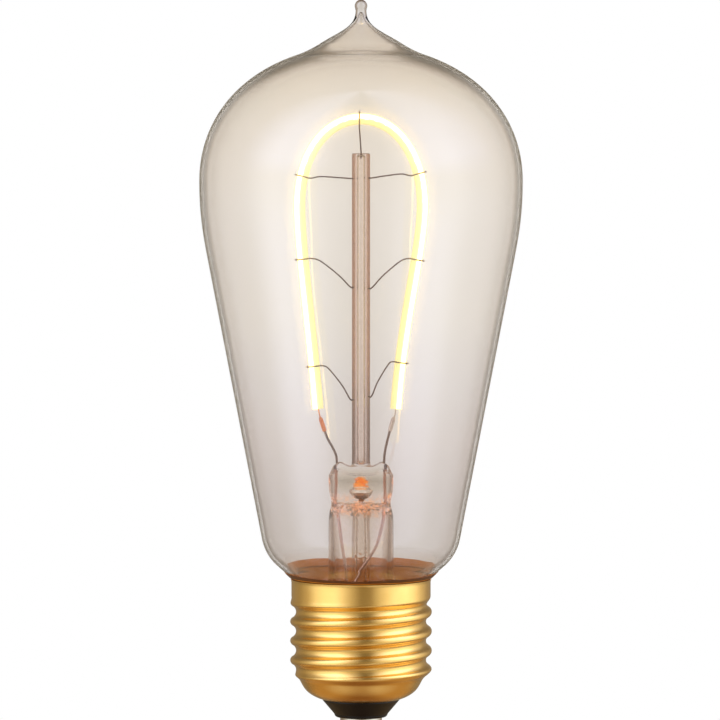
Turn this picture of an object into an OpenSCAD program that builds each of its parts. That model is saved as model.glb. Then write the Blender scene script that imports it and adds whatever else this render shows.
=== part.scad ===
// LED filament lamp in the pear-shaped "squirrel cage" form, on an E27 screw cap.
// Millimetres. The lamp stands on its centre contact: z = 0 is the flat of the contact,
// +Z runs along the axis to the pip of the glass, and the filament loop lies in the XZ plane.

/* [Glass envelope] */

// Largest diameter of the glass
bulb_d = 60; // [56:0.5:64]
// Height of the widest part above the contact
belly_z = 101.5; // [100:0.1:103]
// Overall length from the contact to the pip
lamp_h = 135; // [133:0.5:138]
// Wall thickness of the glass
glass_wall = 0.7; // [0.5:0.05:0.9]
// Wall thickness of the neck, where the glass is drawn in
neck_wall = 1.2; // [0.9:0.05:1.4]
// Half angle of the long cone below the belly, degrees
cone_angle = 10.9; // [10.4:0.05:11.4]
// Height where the cone starts to turn in to the neck
shoulder_z = 34.9; // [34:0.1:36]
// Radius of the glass at that height
shoulder_r = 18.44; // [18:0.02:19]
// Radius of the arc that turns the shoulder
shoulder_bend_r = 8.9; // [8:0.1:10]
// Angle of the wall where it runs into the cap, degrees
shoulder_angle = 49; // [46:0.5:51]
// Outside radius of the neck inside the cap
neck_r = 11.3; // [11:0.05:11.4]
// Height of the sealed end of the neck
neck_seal_z = 19; // [18.5:0.1:20]
// Radius of the drawn waist under the pip
pip_waist_r = 1; // [0.9:0.05:1.2]
// Radius of the round end of the pip
pip_r = 1.16; // [1.1:0.02:1.3]

/* [Screw cap] */

// Outside diameter over the thread crests
thread_d = 26.4; // [26.05:0.05:26.45]
// Pitch of the round thread
thread_pitch = 3.62; // [3.55:0.01:3.7]
// Height of the thread from root to crest
thread_h = 1.08; // [1:0.02:1.2]
// Height of a crest on the +X side, which sets the start of the thread
thread_phase_z = 14; // [13:0.1:14.6]
// Outside diameter of the plain collar above the thread
collar_d = 25.95; // [25.7:0.05:26]
// Height of the open rim of the shell
rim_z = 27.4; // [27.2:0.05:27.5]
// How far the rim is belled out
rim_bell = 0.15; // [0.05:0.05:0.25]
// Thickness of the brass sheet
shell_wall = 0.25; // [0.2:0.01:0.3]
// Radius of the opening in the bottom of the shell
shell_mouth_r = 7.3; // [7.1:0.05:7.5]
// Height of that opening
shell_mouth_z = 4.95; // [4.8:0.05:5.1]
// Radius of the black insulator at its lower edge
insulator_tip_r = 4.95; // [4.8:0.05:5.2]
// Height of the underside of the insulator
insulator_z = 1.6; // [1.3:0.05:1.8]
// Height of the top of the insulator inside the cap
insulator_top_z = 6.3; // [6:0.1:6.6]
// Radius of the wire hole through the insulator
wire_hole_r = 1.05; // [0.9:0.05:1.3]
// Radius of the centre contact
contact_r = 3.9; // [3.5:0.1:4.2]
// Height of the cement ring that holds the neck in the collar
cement_h = 3.6; // [3:0.1:3.7]
// Height of the bead of cement that stands on the rim
bead_h = 1.5; // [1:0.1:1.7]
// Clearance of the cement from glass and brass
cement_fit = 0.03; // [0.02:0.01:0.05]

/* [Glass stem] */

// Outside radius of the flare tube
flare_r = 6.1; // [5.9:0.05:6.3]
// Wall of the flare tube
flare_wall = 1.1; // [0.9:0.05:1.2]
// Height where the tube starts to open into the flare
flare_turn_z = 28; // [27:0.2:30]
// Height of the bottom of the press
press_z = 40.6; // [40:0.1:41]
// Height of the top of the press, in the saddle between its shoulders
press_top_z = 48.4; // [48:0.1:49]
// Width of the press across the wires
press_w = 12; // [11.5:0.1:12]
// Thickness of the press
press_t = 3.8; // [3.6:0.1:4.2]
// Rise of the two shoulders over the saddle
press_hump = 0.9; // [0.5:0.1:1.2]
// Outside diameter of the exhaust tube
exhaust_d = 3.4; // [3.2:0.1:3.6]
// Bore of the exhaust tube
exhaust_bore_d = 1.5; // [1.2:0.1:1.8]
// Height of the sealed lower tip of the exhaust tube
exhaust_tip_z = 14.2; // [14:0.1:15]
// Radius of the exhaust hole in the face of the press
exhaust_hole_r = 1.1; // [0.9:0.05:1.3]
// Height of the exhaust hole
exhaust_hole_z = 43.6; // [43.2:0.1:44]
// Diameter of the centre rod
rod_d = 3.4; // [3.2:0.1:3.6]
// Bore of the centre rod
rod_bore_d = 1.15; // [1:0.05:1.3]
// Height of the top of the centre rod
rod_top_z = 106.6; // [106:0.1:107]

/* [LED filament] */

// Half width of the loop at its widest, to the middle of the strip
loop_half_w = 11.3; // [11:0.1:12]
// Height of the top of the loop, to the middle of the strip
loop_top_z = 112.9; // [112.5:0.1:113.5]
// Height of the widest part of the loop
loop_wide_z = 97; // [96:0.5:98]
// Height of the two lower ends of the strip
loop_end_z = 59.2; // [58.8:0.1:59.6]
// Distance of the left end from the axis
loop_end_left = 7.9; // [7.4:0.1:8.4]
// Distance of the right end from the axis
loop_end_right = 6.4; // [6:0.1:7]
// Width of the strip from front to back
strip_w = 2.1; // [1.9:0.05:2.3]
// Thickness of the flexible base of the strip
base_t = 0.3; // [0.25:0.05:0.35]
// Thickness of the phosphor on the outer, chip side
phosphor_outer_t = 1; // [0.9:0.05:1.1]
// Thickness of the phosphor on the inner side
phosphor_inner_t = 0.8; // [0.7:0.05:0.9]
// Number of LED chips on the strip
chip_count = 44; // [36:1:50]
// Length of one chip along the strip
chip_l = 0.8; // [0.6:0.05:1]
// Width of one chip
chip_w = 0.5; // [0.4:0.05:0.6]
// Thickness of one chip
chip_t = 0.18; // [0.14:0.01:0.2]
// Clearance round the chips in the phosphor
chip_fit = 0.08; // [0.05:0.01:0.1]
// Length of the copper tab under each end of the strip
tab_l = 4.4; // [4:0.1:4.8]
// Width of the tab
tab_w = 1.2; // [1:0.1:1.4]
// Thickness of the tab
tab_t = 0.25; // [0.2:0.01:0.3]

/* [Wires] */

// Diameter of the thin support wires
support_wire_d = 0.28; // [0.22:0.02:0.32]
// Diameter of the nickel lead wires above the press
lead_wire_d = 0.46; // [0.4:0.02:0.5]
// Diameter of the copper-clad wires sealed in the press
seal_wire_d = 0.5; // [0.46:0.02:0.54]
// Diameter of the copper leads from the press down to the driver
tail_wire_d = 0.5; // [0.46:0.02:0.54]
// Diameter of the two leads from the driver to the cap
cap_lead_d = 0.4; // [0.36:0.02:0.42]
// Heights where the upper and middle left supports leave the rod
support_left_z = [101.9, 81.8]; // [78:0.1:104]
// Heights where the upper and middle left supports hold the strip
grip_left_z = [102.3, 87.0]; // [82:0.1:104]
// Heights where the upper and middle right supports leave the rod
support_right_z = [102.0, 81.6]; // [78:0.1:104]
// Heights where the upper and middle right supports hold the strip
grip_right_z = [102.8, 86.9]; // [82:0.1:104]
// Heights of the two lower grips above the ends of the strip, left and right
low_grip_rise = [7.9, 8.6]; // [6:0.1:10]
// Drop of the two lower supports from the grip to the rod, left and right
low_grip_drop = [6.2, 6.3]; // [5:0.1:7]
// Clearance of the hooks from the strip
hook_fit = 0.08; // [0.05:0.01:0.15]
// Clearance of a wire in the glass that holds it
seal_fit = 0.02; // [0.01:0.01:0.04]
// Distance of the left seal wire from the axis
seal_left_x = 4.5; // [4.3:0.05:4.6]
// Distance of the right seal wire from the axis
seal_right_x = 4.3; // [4.2:0.05:4.5]

/* [Driver] */

// Outside radius of the insulating sleeve in the cap
sleeve_r = 10; // [9.8:0.05:10.1]
// Wall of the sleeve
sleeve_wall = 0.4; // [0.3:0.05:0.5]
// Height of the top edge of the sleeve
sleeve_top_z = 17.6; // [17:0.1:17.8]
// Height of the underside of the driver board
board_z = 11; // [10.8:0.1:11.2]
// Thickness of the board
board_t = 1; // [0.8:0.1:1.2]
// Clearance between the board and the sleeve
board_fit = 0.1; // [0.05:0.05:0.2]
// Diameter of the smoothing capacitor
capacitor_d = 5; // [4.5:0.1:5.2]
// Length of the smoothing capacitor
capacitor_l = 8; // [7:0.1:9]
// Diameter of the fusible resistor
resistor_d = 2.2; // [1.9:0.1:2.3]
// Length of the fusible resistor
resistor_l = 6; // [5.5:0.1:6.2]
// Diameter of the inductor
inductor_d = 4; // [3.6:0.1:4.4]
// Height of the inductor
inductor_h = 4.6; // [4:0.1:5]
// Length of the bridge rectifier
bridge_l = 4.7; // [4.5:0.1:4.9]
// Width of the bridge rectifier
bridge_w = 3.8; // [3.6:0.1:4]
// Length of the driver chip
chip_body_l = 4.9; // [4.7:0.1:5]
// Width of the driver chip
chip_body_w = 3.9; // [3.7:0.1:4]

/* [Hidden] */

$fn = 64;
// How far a cutter passes the surface that it cuts.
cut_past = 1;

// A cubic curve through two ends with two control points.
function bez(p, t) = pow(1 - t, 3) * p[0] + 3 * pow(1 - t, 2) * t * p[1]
                   + 3 * (1 - t) * t * t * p[2] + t * t * t * p[3];
function curve(p, n, from = 0) = [for (i = [from : n]) bez(p, i / n)];
function unit(v) = v / norm(v);
function blend(a, b, x) = let (t = max(0, min(1, (x - a) / (b - a)))) t * t * (3 - 2 * t);

// Outline of the glass, [radius, height], from the neck up to the pip.
belly_r = bulb_d / 2;
crown_end_r = 9.63;
crown_end_drop = 9.5;
crown_end = [crown_end_r, lamp_h - crown_end_drop];
shoulder_turn = shoulder_angle - cone_angle;
function shoulder_point(a) =
    [shoulder_r - shoulder_bend_r * (cos(cone_angle) - cos(a)),
     shoulder_z - shoulder_bend_r * (sin(a) - sin(cone_angle))];
mouth_start = shoulder_point(shoulder_angle);
mouth_rise = 0.2;
mouth_z = rim_z + mouth_rise;
mouth_r = mouth_start[0] - (mouth_start[1] - mouth_z) * tan(shoulder_angle);
neck_h = 5;
neck_top_z = neck_seal_z + neck_h;
neck_pull = 2;
mouth_pull = 0.9;
neck_curve = [[neck_r, neck_top_z], [neck_r, neck_top_z + neck_pull],
              [mouth_r - mouth_pull * sin(shoulder_angle), mouth_z - mouth_pull * cos(shoulder_angle)],
              [mouth_r, mouth_z]];
belly_bend_h = 13.9;
cone_top_z = belly_z - belly_bend_h;
cone_top_r = shoulder_r + (cone_top_z - shoulder_z) * tan(cone_angle);
cone_pull = 5.5;
belly_pull = 4.9;
belly_curve = [[cone_top_r, cone_top_z], [cone_top_r + cone_pull * tan(cone_angle), cone_top_z + cone_pull],
               [belly_r, belly_z - belly_pull], [belly_r, belly_z]];
crown_pull = 10.6;
crown_turn = [6.7, 13.2];
crown_curve = [[belly_r, belly_z], [belly_r, belly_z + crown_pull],
               [belly_r - crown_turn[0], lamp_h - crown_turn[1]], crown_end];
pip_pull = [-4.93, 3.7];
pip_turn_drop = 5.6;
pip_top_drop = 2;
pip_curve = [crown_end, crown_end + pip_pull, [pip_waist_r, lamp_h - pip_turn_drop],
             [pip_waist_r, lamp_h - pip_top_drop]];
outer_wall = concat([[neck_r, neck_seal_z]], curve(neck_curve, 8),
                    [for (i = [0 : 7]) shoulder_point(shoulder_angle - i / 7 * shoulder_turn)],
                    curve(belly_curve, 8), curve(crown_curve, 20, 1), curve(pip_curve, 14, 1));
pip_z = lamp_h - pip_r;
pip_start = asin(pip_waist_r / pip_r) - 4;
pip_end = [for (i = [0 : 7]) let (a = 180 - pip_start - i / 7 * (180 - pip_start))
           [pip_r * sin(a), pip_z + pip_r * cos(a)]];
// The inside follows the outside at the wall thickness, which grows to the neck, and closes in
// a point under the pip.
function wall_normal(p, i) = let (d = unit(p[min(i + 1, len(p) - 1)] - p[max(i - 1, 0)]))
    [-d[1], d[0]];
function wall_at(z) = glass_wall + (neck_wall - glass_wall) * (1 - blend(mouth_z - 1, mouth_z + 2, z));
inner_all = [for (i = [0 : len(outer_wall) - 1])
             outer_wall[i] + wall_at(outer_wall[i][1]) * wall_normal(outer_wall, i)];
least_bore_r = 0.75;
inner_wall = [for (p = inner_all) if (p[0] > least_bore_r) p];
cavity_top = [0, lamp_h - 3.4];

// The screw shell: a round thread that fades into the collar above and the bowl below.
crest_r = thread_d / 2;
collar_r = collar_d / 2;
root_r = crest_r - thread_h;
thread_arc_r = (pow(thread_pitch / 4, 2) + pow(thread_h / 2, 2)) / thread_h;
function thread_drop(u) = let (w = abs(u - round(u)) * thread_pitch, q = thread_pitch / 4)
    w <= q ? thread_arc_r - sqrt(pow(thread_arc_r, 2) - w * w)
           : thread_h - thread_arc_r + sqrt(pow(thread_arc_r, 2) - pow(2 * q - w, 2));
bowl_h = 4.55;
bowl_turn = [1.37, 3.05];
bowl_foot = [3.9, 1.25];
bowl_curve = [[root_r, shell_mouth_z + bowl_h], [root_r - bowl_turn[0], shell_mouth_z + bowl_turn[1]],
              [shell_mouth_r + bowl_foot[0], shell_mouth_z + bowl_foot[1]], [shell_mouth_r, shell_mouth_z]];
function bowl_way(t) = unit(bez(bowl_curve, min(1, t + 0.01)) - bez(bowl_curve, t - 0.01));
function bowl_inner(t, d) = bez(bowl_curve, t) + d * [bowl_way(t)[1], -bowl_way(t)[0]];
collar_steps = [0, 0.25, 0.6, 1.6, 2.7];
shell_top_z = [for (drop = collar_steps) rim_z - drop];
shell_top_r = [collar_r + rim_bell, collar_r + 0.6 * rim_bell, collar_r, collar_r, collar_r];
plain_h = 3;
thread_top_z = rim_z - plain_h;
thread_rows = 27;
thread_foot_gap = 0.15;
thread_step = (thread_top_z - bowl_curve[0][1] - thread_foot_gap) / thread_rows;
shell_thread_z = [for (i = [0 : thread_rows]) thread_top_z - i * thread_step];
function plain_r(z) = z > rim_z - 2 * plain_h ? collar_r : root_r;
shell_outer = concat([for (i = [0 : 4]) [shell_top_r[i], shell_top_z[i]]],
                     [for (z = shell_thread_z) [plain_r(z), z]],
                     [for (i = [1 : 8]) bez(bowl_curve, i / 8)]);
shell_inner = concat([for (i = [0 : 4]) [shell_top_r[i] - shell_wall, shell_top_z[i]]],
                     [for (z = shell_thread_z) [plain_r(z) - shell_wall, z]],
                     [for (i = [1 : 8]) bowl_inner(i / 8, shell_wall)]);
shell_sides = 56;
thread_fade_drop = 3.1;
thread_fade_z = rim_z - thread_fade_drop;
thread_run_out = 2;
thread_run_in = [3.6, 5.7];
function thread_weight(z) = blend(thread_fade_z, thread_fade_z - thread_run_out, z)
                          * blend(shell_mouth_z + thread_run_in[0], shell_mouth_z + thread_run_in[1], z);
function shell_r(p, a, wall) =
    let (w = thread_weight(p[1]), u = (p[1] - thread_phase_z) / thread_pitch - a / 360)
        (1 - w) * p[0] + w * (crest_r - wall - thread_drop(u));

// The middle line of the LED strip in the XZ plane, from the left end over the top to the right end.
leg_drop = loop_wide_z - loop_end_z;
leg_pull = 8;
crown_rise = 9.2;
loop_crown_x = 6.5;
function leg(end_x) = [[end_x, loop_end_z], [end_x * 1.16, loop_end_z + 0.42 * leg_drop],
                       [loop_half_w * sign(end_x), loop_wide_z - leg_pull],
                       [loop_half_w * sign(end_x), loop_wide_z]];
function quarter(s) = [[s * loop_half_w, loop_wide_z], [s * loop_half_w, loop_wide_z + crown_rise],
                       [s * loop_crown_x, loop_top_z], [0, loop_top_z]];
function backwards(p) = [for (i = [len(p) - 1 : -1 : 0]) p[i]];
half_left = concat(curve(leg(-loop_end_left), 14), curve(quarter(-1), 11, 1));
half_right = concat(curve(leg(loop_end_right), 14), curve(quarter(1), 11, 1));
loop_line = concat(half_left, [for (i = [len(half_right) - 2 : -1 : 0]) half_right[i]]);
loop_last = len(loop_line) - 1;
function loop_along(i) = unit(loop_line[min(i + 1, loop_last)] - loop_line[max(i - 1, 0)]);
function loop_out(i) = let (d = loop_along(i)) [-d[1], d[0]];
strip_in = base_t / 2 + phosphor_inner_t;
strip_out = base_t / 2 + phosphor_outer_t;
function along(v, s) = let (k = min(floor(s), loop_last - 1)) (1 - s + k) * v(k) + (s - k) * v(k + 1);
loop_at = function (i) loop_line[i];
out_at = function (i) loop_out(i);

// A round wire through a list of points, smoothed between them and closed at both ends.
function smooth_between(a, b, c, d, t) =
    0.5 * (2 * b + (c - a) * t + (2 * a - 5 * b + 4 * c - d) * t * t
           + (3 * b - a - 3 * c + d) * t * t * t);
function smooth(p, n = 3) =
    concat([for (i = [0 : len(p) - 2], k = [0 : n - 1])
            smooth_between(p[max(i - 1, 0)], p[i], p[i + 1], p[min(i + 2, len(p) - 1)], k / n)],
           [p[len(p) - 1]]);
function heading(p, i) = unit(p[min(i + 1, len(p) - 1)] - p[max(i - 1, 0)]);
function level(v, t) = unit(v - (v * t) * t);
function carry(p, i, v) =
    i == len(p) ? [] : let (m = level(v, heading(p, i))) concat([m], carry(p, i + 1, m));

module wire(points, d, sides = 8) {
    p = smooth(points);
    first = heading(p, 0);
    side = carry(p, 0, abs(first[1]) < 0.8 ? [0, 1, 0] : [1, 0, 0]);
    n = len(p);
    rings = [for (i = [0 : n - 1])
             let (t = heading(p, i), up = cross(t, side[i]))
             for (a = [0 : 360 / sides : 359])
             p[i] + d / 2 * (cos(a) * side[i] + sin(a) * up)];
    skin = [for (i = [0 : n - 2], k = [0 : sides - 1])
            let (a = i * sides, b = a + sides, next = (k + 1) % sides)
            [a + k, b + k, b + next, a + next]];
    ends = [[for (k = [0 : sides - 1]) k], [for (k = [sides - 1 : -1 : 0]) (n - 1) * sides + k]];
    polyhedron(rings, concat(skin, ends), convexity = 6);
}

// A layer of the LED strip: a cross-section [out, y] carried along the loop, closed by its convex pieces.
module strip_layer(section, pieces = []) {
    m = len(section);
    rings = [for (i = [0 : loop_last]) let (o = loop_out(i))
             for (q = section) [loop_line[i][0] + q[0] * o[0], q[1], loop_line[i][1] + q[0] * o[1]]];
    skin = [for (i = [0 : loop_last - 1], k = [0 : m - 1])
            [i * m + k, i * m + (k + 1) % m, (i + 1) * m + (k + 1) % m, (i + 1) * m + k]];
    whole = len(pieces) > 0 ? pieces : [[for (k = [0 : m - 1]) k]];
    ends = concat([for (q = whole) backwards(q)], [for (q = whole) [for (k = q) loop_last * m + k]]);
    polyhedron(rings, concat(skin, ends), convexity = 8);
}

// The glass

module glass_envelope()
    color([0.93, 0.93, 0.9, 0.3])
        rotate_extrude()
            polygon(concat(outer_wall, pip_end, [cavity_top], backwards(inner_wall)));

// Outlines of the stem seen from the front and from the side; the press is where both meet.
hump_inset = 2.4;
hump_x = press_w / 2 - hump_inset;
hump_r = 1.4;
edge_r = 0.9;
hump_z = press_top_z + press_hump - hump_r;
function hump_point(a) = [press_w / 2 - hump_r + hump_r * cos(a), hump_z - 0.2 + (hump_r + 0.2) * sin(a)];
function edge_point(a) = [press_t / 2 - edge_r + edge_r * cos(a), press_top_z + 0.2 + edge_r * sin(a)];
function mirrored(p) = [for (i = [len(p) - 1 : -1 : 0]) [-p[i][0], p[i][1]]];
press_foot_h = 1;
press_swell_h = [0.6, 1.6];
press_front_half = concat([[flare_r + cut_past, flare_turn_z], [flare_r + cut_past, press_z - press_foot_h],
                           [press_w / 2, press_z + press_swell_h[0]],
                           [press_w / 2, press_top_z - press_swell_h[1]]],
                          [for (a = [0 : 15 : 90]) hump_point(a)],
                          [[hump_x - 0.6, press_top_z + 0.25], [rod_d / 2 + 0.1, press_top_z]]);
press_front = concat(press_front_half, mirrored(press_front_half));
squeeze_drop = 4.6;
squeeze_z = press_z - squeeze_drop;
squeeze_pull = 3;
squeeze_turn = [0.5, 3.4];
squeeze_h = 6.2;
press_side_curve = [[flare_r, squeeze_z], [flare_r, squeeze_z + squeeze_pull],
                    [press_t / 2 + squeeze_turn[0], squeeze_z + squeeze_turn[1]],
                    [press_t / 2, squeeze_z + squeeze_h]];
press_side_half = concat([[flare_r + cut_past, flare_turn_z], [flare_r + cut_past, squeeze_z]],
                         curve(press_side_curve, 8),
                         [for (a = [0 : 22.5 : 90]) edge_point(a)]);
press_side = concat(press_side_half, mirrored(press_side_half));
hollow_r = flare_r - flare_wall;
hollow_drop = 1;
hollow_z = squeeze_z - hollow_drop;
hollow_room = [0.8, 0.2];
hollow_curve = [[hollow_r, hollow_z], [hollow_r, hollow_z + squeeze_pull],
                [exhaust_d / 2 + hollow_room[0], hollow_z + squeeze_pull],
                [exhaust_d / 2 + hollow_room[1], press_z]];
hollow_half = concat([[hollow_r + cut_past, flare_turn_z - cut_past],
                      [hollow_r + cut_past, hollow_z]], curve(hollow_curve, 6));
hollow_side = concat(hollow_half, mirrored(hollow_half));
flare_lip = 0.7;
seal_r = neck_r - neck_wall;
flare_pull = [5, 5.6];
flare_outer_turn = [1.8, 1];
flare_inner_turn = 3;
flare_lip_inset = 0.2;
flare_outer = [[flare_r, flare_turn_z], [flare_r, flare_turn_z - flare_pull[0]],
               [seal_r - flare_outer_turn[0], neck_seal_z + flare_outer_turn[1]], [seal_r, neck_seal_z]];
flare_inner = [[seal_r - flare_lip_inset, neck_seal_z - flare_lip], [seal_r - flare_inner_turn, neck_seal_z],
               [hollow_r, flare_turn_z - flare_pull[1]], [hollow_r, flare_turn_z]];

module stem_flare()
    color([0.9, 0.9, 0.86, 0.4])
        union() {
            rotate_extrude()
                polygon(concat(curve(flare_outer, 9),
                               [[neck_r, neck_seal_z], [neck_r, neck_seal_z - flare_lip]],
                               curve(flare_inner, 9)));
            difference() {
                intersection() {
                    translate([0, 0, flare_turn_z])
                        cylinder(r = flare_r, h = press_top_z + press_hump + cut_past - flare_turn_z);
                    rotate([90, 0, 0])
                        translate([0, 0, -flare_r - cut_past])
                            linear_extrude(2 * (flare_r + cut_past))
                                polygon(press_front);
                    rotate([90, 0, 90])
                        translate([0, 0, -flare_r - cut_past])
                            linear_extrude(2 * (flare_r + cut_past))
                                polygon(press_side);
                }
                intersection() {
                    translate([0, 0, flare_turn_z - cut_past])
                        cylinder(r = hollow_r, h = press_z - flare_turn_z + cut_past);
                    rotate([90, 0, 90])
                        translate([0, 0, -hollow_r - cut_past])
                            linear_extrude(2 * (hollow_r + cut_past))
                                polygon(hollow_side);
                }
                translate([0, 0, press_z - 0.1])
                    cylinder(d = exhaust_bore_d, h = exhaust_hole_z - press_z + 0.1);
                translate([0, 0, exhaust_hole_z])
                    rotate([90, 0, 0])
                        cylinder(r = exhaust_hole_r, h = press_t);
                translate([0, 0, exhaust_hole_z])
                    sphere(r = exhaust_hole_r);
                for (x = [-seal_left_x, seal_right_x])
                    translate([x, 0, press_z - 1.2])
                        cylinder(d = seal_wire_d + 2 * seal_fit, h = press_top_z + 3 - press_z);
            }
        }

module exhaust_tube()
    color([0.9, 0.9, 0.86, 0.4])
        difference() {
            union() {
                translate([0, 0, exhaust_tip_z + exhaust_d / 2])
                    cylinder(d = exhaust_d, h = press_z - exhaust_tip_z - exhaust_d / 2);
                translate([0, 0, exhaust_tip_z + exhaust_d / 2])
                    sphere(d = exhaust_d);
            }
            translate([0, 0, exhaust_tip_z + exhaust_d / 2 + 0.4])
                cylinder(d = exhaust_bore_d, h = press_z - exhaust_tip_z);
        }

// Melted end of the rod and the depth at which its bore ends.
rod_cap_h = 1;
rod_bore_end = 1.6;

module centre_rod()
    color([0.9, 0.9, 0.86, 0.4])
        difference() {
            union() {
                translate([0, 0, press_top_z])
                    cylinder(d = rod_d, h = rod_top_z - rod_cap_h - press_top_z);
                translate([0, 0, rod_top_z - rod_cap_h])
                    scale([1, 1, 2 * rod_cap_h / rod_d])
                        sphere(d = rod_d);
            }
            translate([0, 0, press_top_z - cut_past])
                cylinder(d = rod_bore_d, h = rod_top_z - rod_bore_end - press_top_z);
            for (i = [0 : 1]) {
                support_bore(-1, support_left_z[i]);
                support_bore(1, support_right_z[i]);
            }
            support_bore(-1, low_left_z);
            support_bore(1, low_right_z);
            translate([0, 0, rod_top_z - rod_cap_h])
                cylinder(d = support_wire_d + 2 * seal_fit, h = rod_cap_h + cut_past);
        }

support_foot = 0.9;
low_grip_left_z = loop_end_z + low_grip_rise[0];
low_grip_right_z = loop_end_z + low_grip_rise[1];
low_left_z = low_grip_left_z - low_grip_drop[0];
low_right_z = low_grip_right_z - low_grip_drop[1];

module support_bore(s, z)
    translate([s * support_foot, 0, z])
        rotate([0, s * 90, 0])
            cylinder(d = support_wire_d + 2 * seal_fit, h = rod_d);

// The support wires. Each one leaves the rod, rises to the strip, passes in front of it and
// hooks round its outer edge.
hook_y = strip_w / 2 + hook_fit + support_wire_d / 2;
hook_gap = hook_fit + support_wire_d / 2;
function hook(c, o) = let (place = function (out, y) [c[0] + out * o[0], y, c[1] + out * o[1]])
    [place(-strip_in - 0.5, -hook_y), place(-0.2, -hook_y), place(strip_out, -hook_y),
     place(strip_out + hook_gap + 0.12, -0.5 * hook_y), place(strip_out + hook_gap + 0.12, 0.5 * hook_y),
     place(strip_out, hook_y), place(-0.3, hook_y)];
function side_line(s) = s < 0 ? half_left : half_right;
function side_x(s, z) = lookup(z, [for (p = side_line(s)) [p[1], p[0]]]);
function side_out(s, z) = let (d = unit([side_x(s, z + 0.4) - side_x(s, z - 0.4), 0.8])) s * [d[1], -d[0]];

module side_support(s, rod_z, grip_z) {
    c = [side_x(s, grip_z), grip_z];
    o = side_out(s, grip_z);
    reach = abs(c[0]) - strip_in - rod_d / 2;
    wire(concat([[s * (support_foot + 0.1), 0, rod_z], [s * (rod_d / 2 + 0.25), 0, rod_z],
                 [s * (rod_d / 2 + 0.3 * reach), -0.35 * hook_y, rod_z + 0.42 * (grip_z - rod_z)],
                 [s * (rod_d / 2 + 0.72 * reach), -0.8 * hook_y, rod_z + 0.93 * (grip_z - rod_z)]],
                hook(c, o)), support_wire_d);
}

module top_support_wire()
    color([0.62, 0.6, 0.58])
        wire(concat([[0, 0, rod_top_z - 0.9], [0, 0, rod_top_z + 0.3],
                     [-0.15, -0.5 * hook_y, rod_top_z + 2.6]],
                    hook([-0.3, loop_top_z], [0, 1])), support_wire_d);

module upper_left_support_wire()
    color([0.62, 0.6, 0.58])
        side_support(-1, support_left_z[0], grip_left_z[0]);

module upper_right_support_wire()
    color([0.62, 0.6, 0.58])
        side_support(1, support_right_z[0], grip_right_z[0]);

module middle_left_support_wire()
    color([0.62, 0.6, 0.58])
        side_support(-1, support_left_z[1], grip_left_z[1]);

module middle_right_support_wire()
    color([0.62, 0.6, 0.58])
        side_support(1, support_right_z[1], grip_right_z[1]);

module lower_left_support_wire()
    color([0.62, 0.6, 0.58])
        side_support(-1, low_left_z, low_grip_left_z);

module lower_right_support_wire()
    color([0.62, 0.6, 0.58])
        side_support(1, low_right_z, low_grip_right_z);

// The LED strip
half_base = base_t / 2;
half_strip = strip_w / 2;
channel_w = chip_w / 2 + chip_fit;
channel_h = half_base + chip_t + chip_fit;

module filament_outer_phosphor()
    color([1, 0.86, 0.45])
        strip_layer([[half_base, -half_strip], [strip_out - 0.45, -half_strip],
                     [strip_out - 0.12, -half_strip + 0.22], [strip_out, -half_strip + 0.6],
                     [strip_out, half_strip - 0.6], [strip_out - 0.12, half_strip - 0.22],
                     [strip_out - 0.45, half_strip], [half_base, half_strip],
                     [half_base, channel_w], [channel_h, channel_w],
                     [channel_h, -channel_w], [half_base, -channel_w]],
                    [[0, 1, 2, 3, 10, 11], [3, 4, 9, 10], [4, 5, 6, 7, 8, 9]]);

module filament_inner_phosphor()
    color([1, 0.8, 0.3])
        strip_layer([[-half_base, half_strip], [0.4 - strip_in, half_strip],
                     [0.1 - strip_in, half_strip - 0.22], [-strip_in, half_strip - 0.55],
                     [-strip_in, 0.55 - half_strip], [0.1 - strip_in, 0.22 - half_strip],
                     [0.4 - strip_in, -half_strip], [-half_base, -half_strip]]);

module filament_base()
    color([0.85, 0.6, 0.35])
        strip_layer([[half_base, -half_strip], [half_base, half_strip],
                     [-half_base, half_strip], [-half_base, -half_strip]]);

module led_chips()
    color([0.95, 0.95, 0.8])
        for (i = [0 : chip_count - 1])
            let (s = (i + 0.5) / chip_count * loop_last, c = along(loop_at, s), o = unit(along(out_at, s)))
                translate([c[0], 0, c[1]])
                    rotate([0, atan2(o[0], o[1]), 0])
                        translate([-chip_l / 2, -chip_w / 2, half_base])
                            cube([chip_l, chip_w, chip_t]);

// Copper tabs continue the base of the strip below its two ends.
module end_tab(i) {
    d = i == 0 ? -loop_along(0) : loop_along(loop_last);
    translate([loop_line[i][0], 0, loop_line[i][1]])
        rotate([0, atan2(d[0], d[1]), 0])
            translate([-tab_t / 2, -tab_w / 2, 0])
                cube([tab_t, tab_w, tab_l]);
}

module filament_tab_left()
    color([0.78, 0.45, 0.3])
        end_tab(0);

module filament_tab_right()
    color([0.78, 0.45, 0.3])
        end_tab(loop_last);

// The lead wires, welded to the outer face of a tab and bent in to the press.
function tab_point(i, below, out) =
    let (d = i == 0 ? -loop_along(0) : loop_along(loop_last),
         q = i == 0 ? [d[1], -d[0]] : [-d[1], d[0]],
         c = loop_line[i] + below * d + (tab_t / 2 + lead_wire_d / 2 + out) * q)
        [c[0], 0, c[1]];
lead_foot_z = press_top_z - 0.6;
weld_fit = 0.01;

module lead_wire_left()
    color([0.7, 0.68, 0.64])
        wire([[-seal_left_x, 0, lead_foot_z], [-seal_left_x, 0, press_top_z + 1.1],
              [-seal_left_x - 0.3, 0, press_top_z + 2.4], [-seal_left_x - 1.1, 0, press_top_z + 4.2],
              tab_point(0, tab_l + 0.6, -0.05), tab_point(0, tab_l - 0.4, weld_fit),
              tab_point(0, 2.4, weld_fit)], lead_wire_d);

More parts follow.
